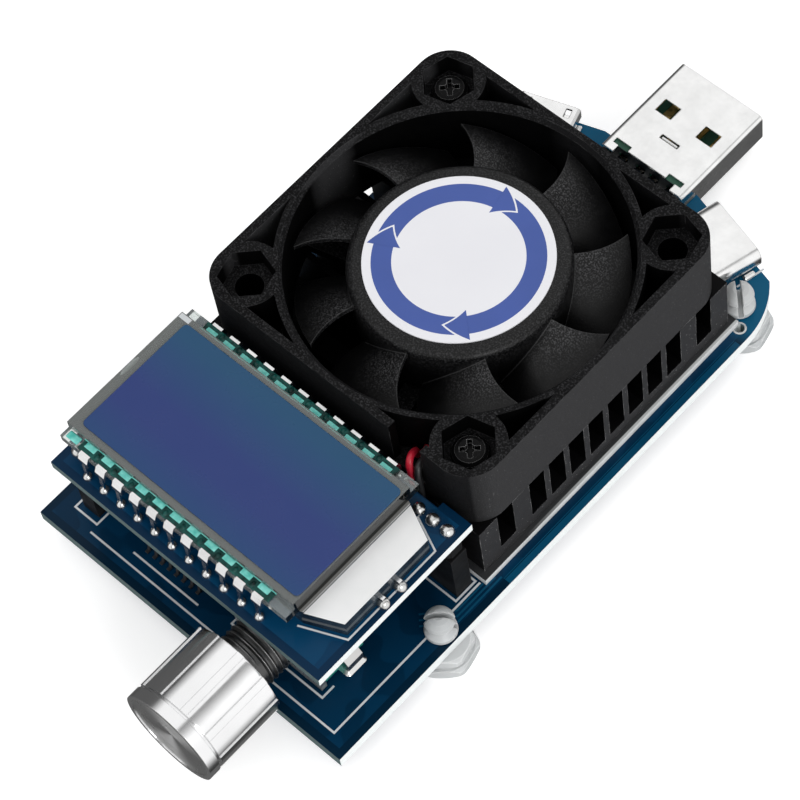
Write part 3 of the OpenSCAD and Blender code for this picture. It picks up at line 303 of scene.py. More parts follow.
legend_white = worn("legend_ink", (0.6, 0.63, 0.65), (0.75, 0.77, 0.78), 0.5, 0.7, 0.0002, 0.000004)
ink = 0.24
legend_under = board_under - ink_rise * mm
legend = [
    ribbon([(-16.6, -43.8), (20.1, -43.8), (20.1, -21)], ink, board_top),
    ribbon([(3, -33), (3, -41.7), (16.4, -41.7), (16.4, -39.9)], ink, board_top),
    frame_line(-20.1, -42.7, -16.7, -31.2, ink, board_top),
    ribbon([(-11.2, -42.5), (-1.3, -42.5)], ink, board_top),
    frame_line(12.9, -24.3, 19.6, -21.2, ink, board_top),
    ribbon([(-9.4, 24.4), (-18.6, 21.6)], ink, board_top),
    ribbon([(8.8, 23.4), (18.2, 21)], ink, board_top),
    ribbon([(17.5, 24.5), (18.3, 28.2)], ink, board_top),
    ribbon([(-6.6, 26.4), (-6.6, 22.2), (6.6, 22.2), (6.6, 26.4)], ink, board_top),
    frame_line(-12.4, -5.6, -3.6, 5.2, ink, legend_under),
    frame_line(3.6, -5.6, 12.4, 5.2, ink, legend_under),
    frame_line(-8, 11.6, 8, 16.4, ink, legend_under),
]
piece("board_legend", legend, legend_white, crease=20)


def turned(profile, x, y, z, around=24, upside_down=False):
    """Surface of revolution about an upright axis: a profile of (radius, height) in millimetres."""
    radius, height = np.array(profile, float).T
    angle = np.linspace(0, 2 * np.pi, around, endpoint=False)
    flip = -1 if upside_down else 1
    grid = np.empty((len(radius), around, 3))
    grid[..., 0] = x + np.outer(radius, np.cos(angle))
    grid[..., 1] = y + np.outer(radius, np.sin(angle))
    grid[..., 2] = height[:, None] * flip
    return grid * mm + [0, axis_y, z]


solder_tin = worn("bright_solder", (0.58, 0.58, 0.57), (0.78, 0.78, 0.77), 0.14, 0.32, 0.0003, 0.000008,
                  metal=1.0)
spare_hole_x, spare_hole_y = 21.15, 20.6
hole_r, ring_r, ring_rise = 0.58, 0.8, 0.03
ring = [(hole_r, 0), (ring_r, 0), (ring_r, ring_rise), (hole_r, ring_rise), (hole_r, 0)]
rings = [turned(ring, spare_hole_x, spare_hole_y, z, upside_down=flip)
         for z, flip in ((board_top, False), (board_under, True))]
piece("hole_rings", rings, solder_tin, crease=30)

# Copper tracks: etched copper that stands up faintly through the mask.
# They are thin ribbons in the mask's own blue, a little lighter where the copper shines through.
track_blue = worn("masked_copper", (0.0015, 0.05, 0.11), (0.003, 0.072, 0.15), 0.25, 0.35, 0.0004,
                  0.000004, shine=0.1)
track_rise = 0.012
track_under = board_under - track_rise * mm
track_pitch = 0.5
tracks = [ribbon([(21.4 - s, -19 - s), (21.4 - s, -26 + s), (18.6 - s, -29 + s)], 0.22, board_top, track_rise)
          for s in track_pitch * np.arange(3)]
tracks += [ribbon([(-14, y), (-2, y), (2, y + 2.5), (9, y + 2.5)], 0.25, track_under, track_rise)
           for y in np.arange(-30, -20, 0.9)]
tracks += [ribbon([(x, 8), (x, 20), (x / 2, 24), (x / 2, 27.5)], 1.6, track_under, track_rise)
           for x in (-5, 5)]
# The thin line at X 21.72 is a painted highlight along the copper's edge; the wide one beside it is a track.
tracks += [ribbon([(x, -19), (x, 19)], width, board_top, track_rise)
           for x, width in ((21.72, 0.09), (22.24, 0.74))]
tracks += [ribbon([(19.4 - s, 21.4), (19.4 - s, 24.6 - 1.2 * s), (17.6 - s, 26)], 0.2, board_top, track_rise)
           for s in track_pitch * np.arange(4)]
piece("board_tracks", tracks, track_blue, crease=20)

# Feet: moulded posts of natural nylon, milky and faintly waxy.
# Each is pushed up through a hole near the board's corner, where its split head snaps open.
nylon = worn("milky_nylon", (0.48, 0.5, 0.51), (0.62, 0.63, 0.63), 0.28, 0.45, 0.0002, 0.000015, 0.0002,
             edge_wear_and_glint=(0.85, 0.86, 0.86))
shader = shader_of(nylon)
shader.inputs["Subsurface Weight"].default_value = 0.4
shader.inputs["Subsurface Radius"].default_value = (1, 1, 1)
shader.inputs["Subsurface Scale"].default_value = 0.0012
shader.inputs["Transmission Weight"].default_value = 0.15
dress(nylon, "foot_front_left", "foot_front_right", "foot_rear_left", "foot_rear_right")

# Thermal pad: soft pale silicone sheet that squeezes out a little round the heat sink.
# Its cut sides are clean; its top lip carries painted shade, dark in front and next to the heat sink and
# paler towards the back.
pad_grey, tree, shader = finish("silicone_pad", (0.5, 0.52, 0.52), 0.75)
pad_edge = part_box("thermal_pad")[1].x
# Painted shade: the lip's top is dark towards the front and next to the heat sink, paler towards the back and
# the outer edge.
backward = span(tree, place(tree)["Y"], 0, 1, axis_y - 14 * mm, axis_y - 3 * mm)
off_middle = from_centre(tree, Vector((0, 0, 0)))["X"]
outward = span(tree, off_middle, 0, 1, pad_edge - 0.34 * mm, pad_edge - 0.26 * mm)
lip = blend_colours(tree, product(tree, backward, outward), (0.02, 0.021, 0.023), (0.6, 0.62, 0.62))
cut_side = blend_colours(tree, span(tree, mottle(tree, 400), 0, 1), (0.62, 0.64, 0.64), (0.78, 0.79, 0.79))
tone = blend_colours(tree, facing(tree, "Z"), cut_side, lip)
gloss = span(tree, mottle(tree, 700), 0.6, 0.8)
coat(tree, shader, tone, gloss, mottle(tree, 5000, 3), 0.00003, 0.0002)
dress(pad_grey, "thermal_pad")

# Heat sink: an aluminium extrusion with slots along X, sawn square and black anodised.
# The saw leaves fine upright lines. It sits on the pad, and the fan's screws bite into its slots.
side_reach = 18.7 * mm


def outer_sides(tree, axis, stop=0.6):
    """1 on faces that look along X or Y and lie at the cooler's outside, and 0 on all others."""
    away = from_centre(tree, Vector((0, axis_y, 0)))[axis]
    outside = span(tree, away, 0, 1, side_reach - 0.15 * mm, side_reach + 0.15 * mm)
    return product(tree, outside, facing(tree, axis, 0.35, stop))


def sides_grain_and_painted_light(material, dark, light, edge, bright, fleck):
    """Right and left sides are painted lighter as painted light and hold a sprinkle of dust; front and back
    are painted darker and inner walls black as painted shade; faces that look up keep their tint with a fine
    grain; edges get painted highlights."""
    tree = material.node_tree
    shader = shader_of(material)
    level = shader.inputs["Base Color"].links[0].from_socket
    grain = span(tree, mottle(tree, 9000, 2), 0, 1)
    glinting_edges = product(tree, wear_and_glint_edges(tree, edge), span(tree, mottle(tree, 700, 3), 0, 1, 0.4, 0.62))
    top = blend_colours(tree, span(tree, mottle(tree, 5200, 1), 0, 1, 0.5, 0.72), level, fleck)
    top = blend_colours(tree, glinting_edges, top, fleck)
    # Painted shade: inner walls are black and the front and back darker. Painted light: the sides are lighter
    # and the edges glint.
    inner = blend_colours(tree, facing(tree, "Z"), (0.0012, 0.0012, 0.0013), top)
    dust = span(tree, mottle(tree, 4200, 1), 0, 1, 0.71, 0.76)
    front = blend_colours(tree, grain, (0.004, 0.004, 0.0045), (0.011, 0.011, 0.0118))
    front = blend_colours(tree, glinting_edges, front, bright)
    side = blend_colours(tree, dust, blend_colours(tree, grain, dark, light), bright)
    side = blend_colours(tree, glinting_edges, side, bright)
    faces = blend_colours(tree, outer_sides(tree, "Y"), inner, front)
    faces = blend_colours(tree, outer_sides(tree, "X", 1.0), faces, side)
    tree.links.new(faces, shader.inputs["Base Color"])


anodised = worn("black_anodised", (0.0015, 0.0015, 0.0017), (0.003, 0.003, 0.0034), 0.34, 0.5, 0.0003,
                0.00001, 0.0002, (0.1, 1, 1), shine=0.06)
# Painted light and shade on the heat sink: lighter left and right sides, darker front and back, black slot
# walls, and glinting fin edges.
sides_grain_and_painted_light(anodised, (0.024, 0.024, 0.0252), (0.038, 0.038, 0.04), 0.00012, (0.4, 0.4, 0.4),
              (0.003, 0.003, 0.0034))
dress(anodised, "heat_sink")

# Chips: moulded black epoxy packages whose leads share the dark finish, and ceramic chip resistors.
# All are soldered flat to the board; the resistors' bright end caps are a piece of their own.
epoxy = worn("chip_epoxy", (0.012, 0.012, 0.013), (0.024, 0.024, 0.026), 0.45, 0.65, 0.0001, 0.000006,
             0.00005)
dress(epoxy, "microcontroller", "power_mosfets", "op_amp", "voltage_regulator", "shunt_resistors")


def rounded_outline(width, depth, radius, steps=5):
    """Corners of a rectangle rounded by quarter circles, going round once."""
    quarter = np.linspace(0, np.pi / 2, steps)
    turn = np.array([quarter + k * np.pi / 2 for k in range(4)]).ravel()
    centre = np.array([(1, 1), (-1, 1), (-1, -1), (1, -1)]) * [width / 2 - radius, depth / 2 - radius]
    return centre.repeat(steps, axis=0) + radius * np.column_stack([np.cos(turn), np.sin(turn)])


def block(x, y, z, size, edge, corner=0.0):
    """Soft-edged box standing on z: a rounded outline carried up through four levels, drawn in by the
    edge size at the first and last, and closed to its middle at both ends."""
    width, depth, height = size
    full = rounded_outline(width, depth, corner + edge * 1.01)
    inner = rounded_outline(width - 2 * edge, depth - 2 * edge, corner + edge * 0.01)
    outlines = [inner * 0, inner, full, full, inner, inner * 0]
    levels = [0, 0, edge, height - edge, height, height]
    grid = np.stack([np.column_stack([o + [x, y], np.full(len(o), h)]) for o, h in zip(outlines, levels)])
    return grid * mm + [0, axis_y, z]


small_parts = [(-13.5, -29), (-13.5, -26.5), (-11, -26.5), (-8.5, -26.5), (1, -29), (1, -26.5), (-4.5, -30)]
under_parts = [(x, y) for x in (-15, 15) for y in (-10, -7.5, -5)]
under_parts += [(-3, -12), (0, -12), (3, -12), (-14, 22), (14, 22)]
both_ends = (-1, 1)
chip_size = (1, 0.8, 0.45)
cap_size = (0.3, 0.84, 0.48)
cap_x = 0.62
shunt_cap = (0.9, 3.4, 0.8)
shunt_xs, shunt_y, shunt_cap_x = (-4, 4), 14, 3
ceramic = [block(x, y, board_top, chip_size, 0.04) for x, y in small_parts]
ceramic += [block(x, y, board_under - chip_size[2] * mm, chip_size, 0.04) for x, y in under_parts]
piece("chip_resistors", ceramic, epoxy)
caps = [block(x + s * cap_x, y, board_top, cap_size, 0.05) for x, y in small_parts for s in both_ends]
caps += [block(x + s * cap_x, y, board_under - cap_size[2] * mm, cap_size, 0.05)
         for x, y in under_parts for s in both_ends]
caps += [block(x + s * shunt_cap_x, shunt_y, board_under - shunt_cap[2] * mm, shunt_cap, 0.08)
         for x in shunt_xs for s in both_ends]
piece("resistor_caps", caps, solder_tin)

# USB-A plug: deep-drawn nickel-plated shell round a green insulator with gold-flashed contacts.
# It lies in the board's notch and its contact tails are soldered to the top of the board.
plated = worn("nickel_plate", (0.81, 0.81, 0.805), (0.92, 0.92, 0.915), 0.13, 0.26, 0.00006, 0.000003,
              0.0002, (1, 0.2, 1), metal=1.0)
dress(plated, "plug_shell", "usbc_shell", "micro_usb_shell")
green_insulator = worn("green_insulator", (0.004, 0.055, 0.03), (0.008, 0.09, 0.05), 0.38, 0.55, 0.0002,
                       0.000006, 0.0001)
insulator_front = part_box("plug_insulator")[0].y


def overlay(material, factor, colour):
    """Lays a colour over a material's own base colour where a factor is 1."""
    tree = material.node_tree
    socket = shader_of(material).inputs["Base Color"]
    tree.links.new(blend_colours(tree, factor, socket.links[0].from_socket, colour), socket)


def front_end(material, start, stop, colour):
    """Paints shade on a piece of the plug in front of a line that lies start to stop millimetres behind the
    insulator's front face."""
    tree = material.node_tree
    ahead = span(tree, place(tree)["Y"], 1, 0, insulator_front + start * mm, insulator_front + stop * mm)
    overlay(material, ahead, colour)


# Painted shade on the insulator's front face and on the contacts' front ends, inside the shell's mouth.
front_end(green_insulator, 0.02, 0.06, (0.001, 0.006, 0.008))
dress(green_insulator, "plug_insulator")
gold_coat = ((0.72, 0.48, 0.16), (0.85, 0.62, 0.26), 0.18, 0.35, 0.0002, 0.000004)
gold = worn("gold_flash", *gold_coat, metal=1.0)
dress(gold, "socket_contacts", "header_pins")
plug_gold = worn("plug_gold", *gold_coat, metal=1.0)
front_end(plug_gold, 0.3, 0.6, (0.02, 0.024, 0.03))
dress(plug_gold, "plug_contacts")
tail_y = 27.3
tail_solder = [block(x, tail_y, board_top, (1.5, 2, 0.32), 0.15) for x in (-3.5, -1, 1, 3.5)]
piece("plug_tail_solder", tail_solder, solder_tin)
plug_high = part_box("plug_shell")[1]
tongue_back, tongue_deep = 9.18, 0.42
tongue_y = (plug_high.y - axis_y) / mm - tongue_back
tongue = block(0, tongue_y, plug_high.z - tongue_deep * mm, (2.3, 0.34, 0.34), 0.1)
piece("key_tongue", [tongue], plated)
lamp_white = worn("white_lamp", (0.74, 0.74, 0.7), (0.84, 0.84, 0.8), 0.3, 0.42, 0.0001, 0.000004,
                  0.00005)
piece("signal_lamp", [block(-0.2, 26.1, board_top, (1.5, 0.8, 0.7), 0.08)], lamp_white)

# USB-C and micro-USB sockets: folded plated shells with black tongues that carry gold strips.
# Four soldered feet hold each shell to the board.
black_moulding = worn("black_moulding", (0.004, 0.004, 0.0045), (0.008, 0.008, 0.0085), 0.4, 0.55,
                      0.00015, 0.000008, 0.0001, edge_wear_and_glint=(0.03, 0.03, 0.032), shine=0.2)
dress(black_moulding, "usbc_tongue", "micro_usb_tongue")


def on_socket(socket, places, size, edge, lift=0.0):
    """Soft-edged blocks at places right of and in front of a socket's mouth, lifted so many millimetres off
    the board and turned with the socket about an upright line through the mouth's middle."""
    x, y, degrees = socket
    centre = np.array([x * mm, axis_y + y * mm, 0])
    cos, sin = np.cos(np.radians(degrees)), np.sin(np.radians(degrees))
    turn = np.array([[cos, sin, 0], [-sin, cos, 0], [0, 0, 1]])
    blocks = [block(x + beside, y - ahead, board_top + lift * mm, size, edge) for beside, ahead in places]
    return [(grid - centre) @ turn + centre for grid in blocks]


usbc = (13.7, 29.3, -15)
micro = (-14, 29.2, 18)
usbc_tongue, micro_tongue = 1.98, 1.37
usbc_strips = [(x, 2.6) for x in np.linspace(-2.75, 2.75, 12)]
micro_strips = [(x, 2.2) for x in np.linspace(-1.3, 1.3, 5)]
strips = on_socket(usbc, usbc_strips, (0.26, 3.4, 0.03), 0.01, usbc_tongue)
strips += on_socket(micro, micro_strips, (0.3, 2.8, 0.03), 0.01, micro_tongue)
piece("socket_strips", strips, gold)
usbc_feet = [(s * 4.6, y) for s in both_ends for y in (1.8, 5.8)]
micro_feet = [(s * 3.8, y) for s in both_ends for y in (1.4, 4)]
shell_feet = on_socket(usbc, usbc_feet, (0.7, 1.5, 0.5), 0.2)
shell_feet += on_socket(micro, micro_feet, (0.7, 1.2, 0.45), 0.2)
piece("socket_feet_solder", shell_feet, solder_tin)

# Fan frame: black glass-filled moulding with a fine spark-eroded texture.
# Screwed through two opposite corner bosses into the heat sink's outer slots.
fan_black = worn("fan_moulding", (0.004, 0.004, 0.0043), (0.008, 0.008, 0.0084), 0.5, 0.65, 0.00014,
                 0.000026, 0.0002, shine=0.06)
# Painted light and shade on the fan frame: lighter left and right sides, darker front and back, black pockets
# and duct, and glinting edges.
sides_grain_and_painted_light(fan_black, (0.024, 0.024, 0.0252), (0.042, 0.042, 0.044), 0.00015, (0.12, 0.12, 0.122),
              (0.036, 0.036, 0.038))
dress(fan_black, "fan_frame")
# The screws' light edge colour paints highlights on the rims of their recesses.
black_oxide = worn("black_oxide", (0.002, 0.002, 0.0022), (0.006, 0.006, 0.0063), 0.2, 0.34, 0.00015,
                   0.00001, 0.0001, edge_wear_and_glint=(0.3, 0.3, 0.3), shine=0.08)
dress(black_oxide, "fan_screws")

# Fan motor: a stack of steel laminations wound with copper, on a small green board in the frame's base.
# A sintered bronze sleeve in its middle carries the wheel's spindle; the ring magnet turns with the wheel.
bronze = worn("sintered_bronze", (0.36, 0.22, 0.1), (0.5, 0.33, 0.16), 0.4, 0.6, 0.0001, 0.00001,
              metal=1.0)
dress(bronze, "fan_bearing")
motor_steel = worn("motor_steel", (0.36, 0.37, 0.38), (0.52, 0.53, 0.54), 0.3, 0.5, 0.0002, 0.000008, 0.0,
                   (1, 1, 8), metal=1.0)
dress(motor_steel, "stator_core", "rotor_yoke", "rotor_spindle")
copper_wire = worn("enamelled_copper", (0.42, 0.14, 0.04), (0.58, 0.22, 0.08), 0.28, 0.45, 0.0002,
                   0.00004, 0.0, (1, 1, 5), metal=0.8)
dress(copper_wire, "stator_coils")
motor_green = worn("motor_board_mask", (0.015, 0.1, 0.04), (0.03, 0.15, 0.07), 0.25, 0.4, 0.0003,
                   0.000006)
dress(motor_green, "motor_board")
ferrite = worn("bonded_ferrite", (0.03, 0.029, 0.028), (0.055, 0.05, 0.048), 0.6, 0.8, 0.0002, 0.00001)
dress(ferrite, "rotor_magnet")

# Fan wheel: one black moulding, a hub cup with swept and twisted blades, pressed on the spindle.
# The blades are thin shells whose slope steepens towards the trailing edge.
blade_count = 9
hub_r, tip_r = 12.2, 18.2
wheel_top = fan_high.z / mm - 0.7
wheel_low = fan_low.z / mm + 1.6
blade_high = wheel_top - 0.8
blade_low = fan_low.z / mm + 2.0
blade_thick = 0.9
blade_phase = 5
tip_sweep = 7
chord_turn = 306 / blade_count
root_sink = 0.5


def blade(number, rows=16, columns=20):
    """Closed blade section carried from root to tip. The angle runs back along the chord and forward with
    the square of the span; the height falls by 0.6 t + 0.4 t squared along the chord t; thickness follows
    the later part of a half sine, so the leading edge is blunt, and falls by a third towards the tip."""
    span_at = np.append(np.linspace(0, 1, rows), 1)[:, None]
    thin = np.append(np.ones(rows), 0)[:, None]
    along = np.linspace(0, 1, columns)
    chord = np.concatenate([along, along[::-1]])[None, :]
    under = np.concatenate([np.zeros(columns), np.ones(columns)])[None, :]
    radius = hub_r - root_sink + span_at * (tip_r - hub_r + root_sink)
    start = blade_phase + 360 * number / blade_count
    angle = np.radians(start + tip_sweep * span_at ** 2 - chord_turn * chord)
    drop = 0.6 * chord + 0.4 * chord ** 2
    thick = blade_thick * (1 - 0.35 * span_at) * (0.35 + 0.65 * np.sin(np.pi * (0.35 + 0.65 * chord)))
    high = blade_high - 0.5 * span_at
    middle = high - (high - blade_low - blade_thick) * drop - thick / 2
    height = middle + (0.5 - under) * thick * thin
    grid = np.stack(np.broadcast_arrays(radius * np.cos(angle), radius * np.sin(angle), height), axis=-1)
    return grid * mm + [0, axis_y, 0]


cup_r, cup_top = 10.9, wheel_top - 1.6
rim_r = 0.9
hub_profile = [(0, cup_top), (cup_r, cup_top), (cup_r, wheel_low), (hub_r, wheel_low)]
hub_profile += [(hub_r - rim_r + rim_r * np.cos(a), wheel_top - rim_r + rim_r * np.sin(a))
                for a in np.linspace(0, np.pi / 2, 9)]
hub_profile += [(0, wheel_top)]
wheel_parts = [turned(hub_profile, 0, 0, 0, 96)] + [blade(i) for i in range(blade_count)]
# The wheel's light edge colour paints a highlight along the blades' edges.
wheel_black = worn("wheel_moulding", (0.0015, 0.0015, 0.0017), (0.0035, 0.0035, 0.0038), 0.32, 0.46,
                   0.00014, 0.000018, 0.0002, edge_wear_and_glint=(0.035, 0.035, 0.036), shine=0.25)
tree = wheel_black.node_tree
# Painted sheen: light flecks lie on the upper part of each blade and are dimmer on the hub; they fade towards
# the duct as painted shade.
lit_upper_band = span(tree, place(tree)["Z"], 0, 1, (wheel_top - 4.2) * mm, (wheel_top - 1.2) * mm)
flat = mapped(tree, (0, -axis_y, 0), (1, 1, 0))
radius = add_node(tree, "VectorMath", {0: flat}, operation="LENGTH")["Value"]
off_hub = span(tree, radius, 0.4, 1, hub_r * mm, (hub_r + 0.3) * mm)
duct_shade = span(tree, radius, 1, 0.15, 14.6 * mm, 17.6 * mm)
flecks = span(tree, mottle(tree, 5600, 1), 0, 1, 0.46, 0.72)
grain = product(tree, product(tree, lit_upper_band, flecks), product(tree, off_hub, duct_shade))
overlay(wheel_black, grain, (0.075, 0.075, 0.078))
wheel = piece("fan_wheel_moulding", wheel_parts, wheel_black, body="fan_wheel", crease=35)
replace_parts(wheel, "fan_rotor")

# Hub label: a glossy paper-backed film disc stuck on the hub, white with three printed blue arrows.
# Each arrow bends round the hub and its head nests in the notched tail of the next.
label_film = worn("label_film", (0.85, 0.85, 0.89), (0.9, 0.9, 0.935), 0.3, 0.42, 0.0004, 0.000006,
                  0.0001)
dress(label_film, "hub_label")
label_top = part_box("hub_label")[1].z
band_mid, band_half, head_half = 8.3, 1.1, 1.85
head_long = 17
notch_gap, notch_deep = 2.5, 10.2


def printed_sheet(radius, degrees, height=0.012):
    """Thin closed sheet on the label: a grid of radii and angles gives its plan, the columns run across
    the top and back along the bottom, and both end rows fall to the label."""
    plan = np.stack([radius * np.cos(np.radians(degrees)), radius * np.sin(np.radians(degrees))], axis=-1)
    plan = np.concatenate([plan[:1], plan, plan[-1:]])
    rise = np.full(plan.shape[:2], height)
    rise[[0, -1]] = 0
    over = np.concatenate([plan, rise[..., None]], axis=-1)
    under = np.concatenate([plan, 0 * rise[..., None]], axis=-1)
    return np.concatenate([over, under[:, ::-1]], axis=1) * mm + [0, axis_y, label_top]


def arrow(tip, tail_tip):
    """Head that narrows evenly from its barbs to the tip, and a band of even width from the barbs to a tail
    notched round the tip of the arrow behind it. Lengths along the ring are in degrees."""
    across = np.linspace(-1, 1, 9)[None, :]
    along = np.linspace(0, 1, 9)[:, None]
    head_r = band_mid + across * head_half * (1 - 0.98 * along)
    head = printed_sheet(head_r, tip + head_long * (1 - along) + 0 * across)
    tail = tail_tip - notch_gap + notch_deep * np.abs(across)
    neck = tip + head_long - 0.1
    long = np.linspace(0, 1, 40)[:, None]
    band = printed_sheet(band_mid + across * band_half + 0 * long, neck + long * (tail - neck))
    return [head, band]


print_blue = worn("print_blue", (0.042, 0.088, 0.34), (0.05, 0.1, 0.385), 0.3, 0.42, 0.0002, 0.000004)
tips = (85, 191, 302)
arrows = arrow(tips[0], tips[1]) + arrow(tips[1], tips[2]) + arrow(tips[2], tips[0] + 360)
piece("label_arrows", arrows, print_blue, body="fan_wheel", crease=20)

# Fan leads: two stranded wires in soft insulation, red and black, from the motor to the board.
# They run out along the motor base, through the frame's corner gate and down to soldered holes.


def tube(route, radius, sides=16, fine=6):
    """Round section carried along a smooth curve through the route's points, closed at both ends. Between
    two points the curve is the cubic that leaves each one parallel to the line between its neighbours."""
    p = np.array(route, float)
    a = np.concatenate([p[:1], p[:-2]])[:, None]
    b, c = p[:-1, None], p[1:, None]
    d = np.concatenate([p[2:], p[-1:]])[:, None]
    t = np.linspace(0, 1, fine, endpoint=False)[None, :, None]
    square = (2 * a - 5 * b + 4 * c - d) * t ** 2
    cube = (3 * b - a - 3 * c + d) * t ** 3
    path = 0.5 * (2 * b + (c - a) * t + square + cube)
    path = np.concatenate([path.reshape(-1, 3), p[-1:]])
    slant = [0.86, 0.5, 0]
    ahead = unit(np.gradient(path, axis=0))
    side = unit(np.cross(ahead, slant))
    up = np.cross(ahead, side)
    turn = np.linspace(0, 2 * np.pi, sides, endpoint=False)[None, :, None]
    grid = path[:, None] + radius * (np.cos(turn) * side[:, None] + np.sin(turn) * up[:, None])
    return capped(grid) * mm + [0, axis_y, 0]


red_x, black_x = 11.5, 12.6
hole_y = -21.8
red_route = [
    (5.2, -7.4, 14.4), (7.2, -11.6, 14.4), (8.6, -14.8, 14.6), (9.4, -16.6, 15.2), (9.9, -18, 17),
    (10.3, -18.5, 19), (10.8, -19.6, 20.2), (11.2, -20.4, 19.8), (red_x, -20.65, 18), (red_x, -20.65, 14.5),
    (red_x, -21.1, 11), (red_x, hole_y, 6), (red_x, hole_y, 4),
]
black_route = [
    (6.4, -6.8, 14.4), (8.4, -11, 14.4), (9.8, -14.2, 14.6), (10.5, -16, 15.2), (11, -17.4, 17),
    (11.4, -18.2, 18.6), (11.9, -19.6, 19.6), (12.3, -20.4, 19), (black_x, -20.65, 17.4),
    (black_x, -20.65, 14.5), (black_x, -21.1, 11), (black_x, hole_y, 6), (black_x, hole_y, 4),
]
red_cover = worn("red_insulation", (0.42, 0.006, 0.02), (0.55, 0.015, 0.04), 0.34, 0.5, 0.0002, 0.000008)
black_cover = worn("black_insulation", (0.009, 0.009, 0.01), (0.018, 0.018, 0.019), 0.35, 0.5, 0.0002,
                   0.000008)
lead_r = 0.4
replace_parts(piece("red_lead", [tube(red_route, lead_r)], red_cover), "fan_lead_red")
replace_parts(piece("black_lead", [tube(black_route, lead_r)], black_cover), "fan_lead_black")

# Encoder: teal moulded body in a plated steel bracket, with a threaded zinc bushing in front.
# Bracket lugs and pins pass through the board and are soldered.
teal = worn("teal_moulding", (0.008, 0.21, 0.17), (0.014, 0.28, 0.23), 0.42, 0.6, 0.0002, 0.00001, 0.0001)
dress(teal, "encoder_body")
sheet_steel = worn("plated_sheet", (0.54, 0.54, 0.53), (0.68, 0.68, 0.67), 0.25, 0.42, 0.0002, 0.000006,
                   0.0001, metal=1.0)
dress(sheet_steel, "encoder_bracket", "encoder_switch_dome")
zinc = worn("dark_zinc", (0.07, 0.07, 0.07), (0.13, 0.13, 0.13), 0.24, 0.4, 0.0002, 0.00001, 0.00012,
            edge_wear_and_glint=(0.6, 0.6, 0.6), metal=1.0)
dress(zinc, "encoder_bushing")
dress(black_moulding, "encoder_wiper")
tin = worn("bright_tin", (0.72, 0.72, 0.72), (0.85, 0.85, 0.85), 0.14, 0.28, 0.0002, 0.000004, 0.00006,
           metal=1.0)
dress(tin, "encoder_pins")
shaft_low, shaft_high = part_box("encoder_shaft")
knob_axis = (shaft_low + shaft_high) / 2
bush_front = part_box("encoder_bushing")[0].y


def helix(start, length, pitch, root, crest, per_turn=48):
    """Screw thread along Y: a triangular ridge of foot, flank, crest and flank carried round the encoder's
    axis, moving on by the pitch each turn and fading to the root at both ends."""
    rise = np.array([[0, 0, 1, 0]])
    sunk = np.array([[0.08, 0, 0, 0]])
    lay = np.array([[0.5, 0.06, 0.5, 0.94]])
    turns = length / pitch - 1
    t = np.linspace(0, 1, int(turns * per_turn))[:, None]
    turn = 2 * np.pi * turns * t
    fade = np.clip(np.minimum(t, 1 - t) * turns * 2, 0, 1)
    radius = root + rise * (crest - root) * fade - sunk
    along = np.broadcast_to(start + pitch * (turns * t + lay), radius.shape)
    grid = np.stack([radius * np.cos(turn), along, radius * np.sin(turn)], axis=-1)
    return capped(grid) * mm + [knob_axis.x, bush_front, knob_axis.z]


thread = helix(start=0.1, length=4.5, pitch=0.75, root=3.36, crest=3.6)
piece("bushing_thread", [thread], zinc, crease=25)


def fillet(x, y, radius, height):
    """Solder joint under the board: a concave cone, its radius falling by the power 0.7 and its height
    growing by the power 1.6 of the way to a small round tip."""
    t = np.linspace(0, 1, 9)
    profile = [(radius, 0)] + [(radius * (1 - 0.62 * u ** 0.7), height * u ** 1.6) for u in t]
    profile += [(radius * 0.25, height * 1.12), (0, height * 1.15)]
    return turned(profile, x, y, board_under, 18, upside_down=True)


enc_x = knob_axis.x / mm
pin_y = (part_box("encoder_pins")[1].y - axis_y) / mm - 0.2
enc_pitch, header_pitch = 2.5, 2
left_x, left_y = -18.25, -36.85
right_x, right_y = 16.3, -22.7
left_ys = left_y + header_pitch * np.arange(-2, 3)
right_xs = right_x + header_pitch * np.arange(-1, 2)
lug_y = -36.85
lug_below, lug_above = (1.7, 3.2, 0.8), (2, 3, 0.9)
joints = [fillet(enc_x + enc_pitch * k, pin_y, 0.85, 0.9) for k in range(-2, 3)]
joints += [fillet(left_x, y, 0.75, 0.9) for y in left_ys]
joints += [fillet(x, right_y, 0.75, 0.9) for x in right_xs]
joints += [fillet(x, hole_y, 0.5, 0.8) for x in (red_x, black_x)]
joints += [block(enc_x + s * 6.2, lug_y, board_under - lug_below[2] * mm, lug_below, 0.38) for s in both_ends]
joints += [block(enc_x + s * 6.6, lug_y, board_top, lug_above, 0.42) for s in both_ends]
piece("board_solder", joints, solder_tin)

# Header stacks: moulded black socket strips on the main board, and header strips that plug into them
# from under the display board. Both are soldered through their boards by their pins.
dress(black_moulding, "socket_left", "socket_right", "header_left", "header_right")

# Display board: a smaller sheet of laminate under the same kind of blue mask, with a printed outline.
# It is soldered to the header pins, and the display's and the lamp's pins are soldered to it.
disp_low, disp_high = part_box("display_board")
disp_top = disp_high.z
disp_blue = solder_mask("display_mask_blue", (0.0008, 0.022, 0.06), (0.0012, 0.036, 0.095),
                        (0.002, 0.047, 0.118), disp_low, disp_high)
dress(disp_blue, "display_board")
lamp_low, lamp_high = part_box("backlight")
lcd_y = ((lamp_low.y + lamp_high.y) / 2 - axis_y) / mm
lamp_end = lamp_high.x / mm
glass_low, glass_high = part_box("lcd_rear_glass")
glass_right = glass_high.x / mm
line_near, line_far = glass_right - 0.2, lamp_end + 0.42
tab_line = [(line_near, lcd_y - 8.8), (line_far, lcd_y - 6.6)]
tab_line += [(line_far, lcd_y + 6.6), (line_near, lcd_y + 8.8)]
piece("display_legend", [ribbon(tab_line, 0.22, disp_top)], legend_white, crease=20)
pin_count, pin_half, leg_half = 11, 0.675, 0.12
pin_low, pin_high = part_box("lcd_pins_front")
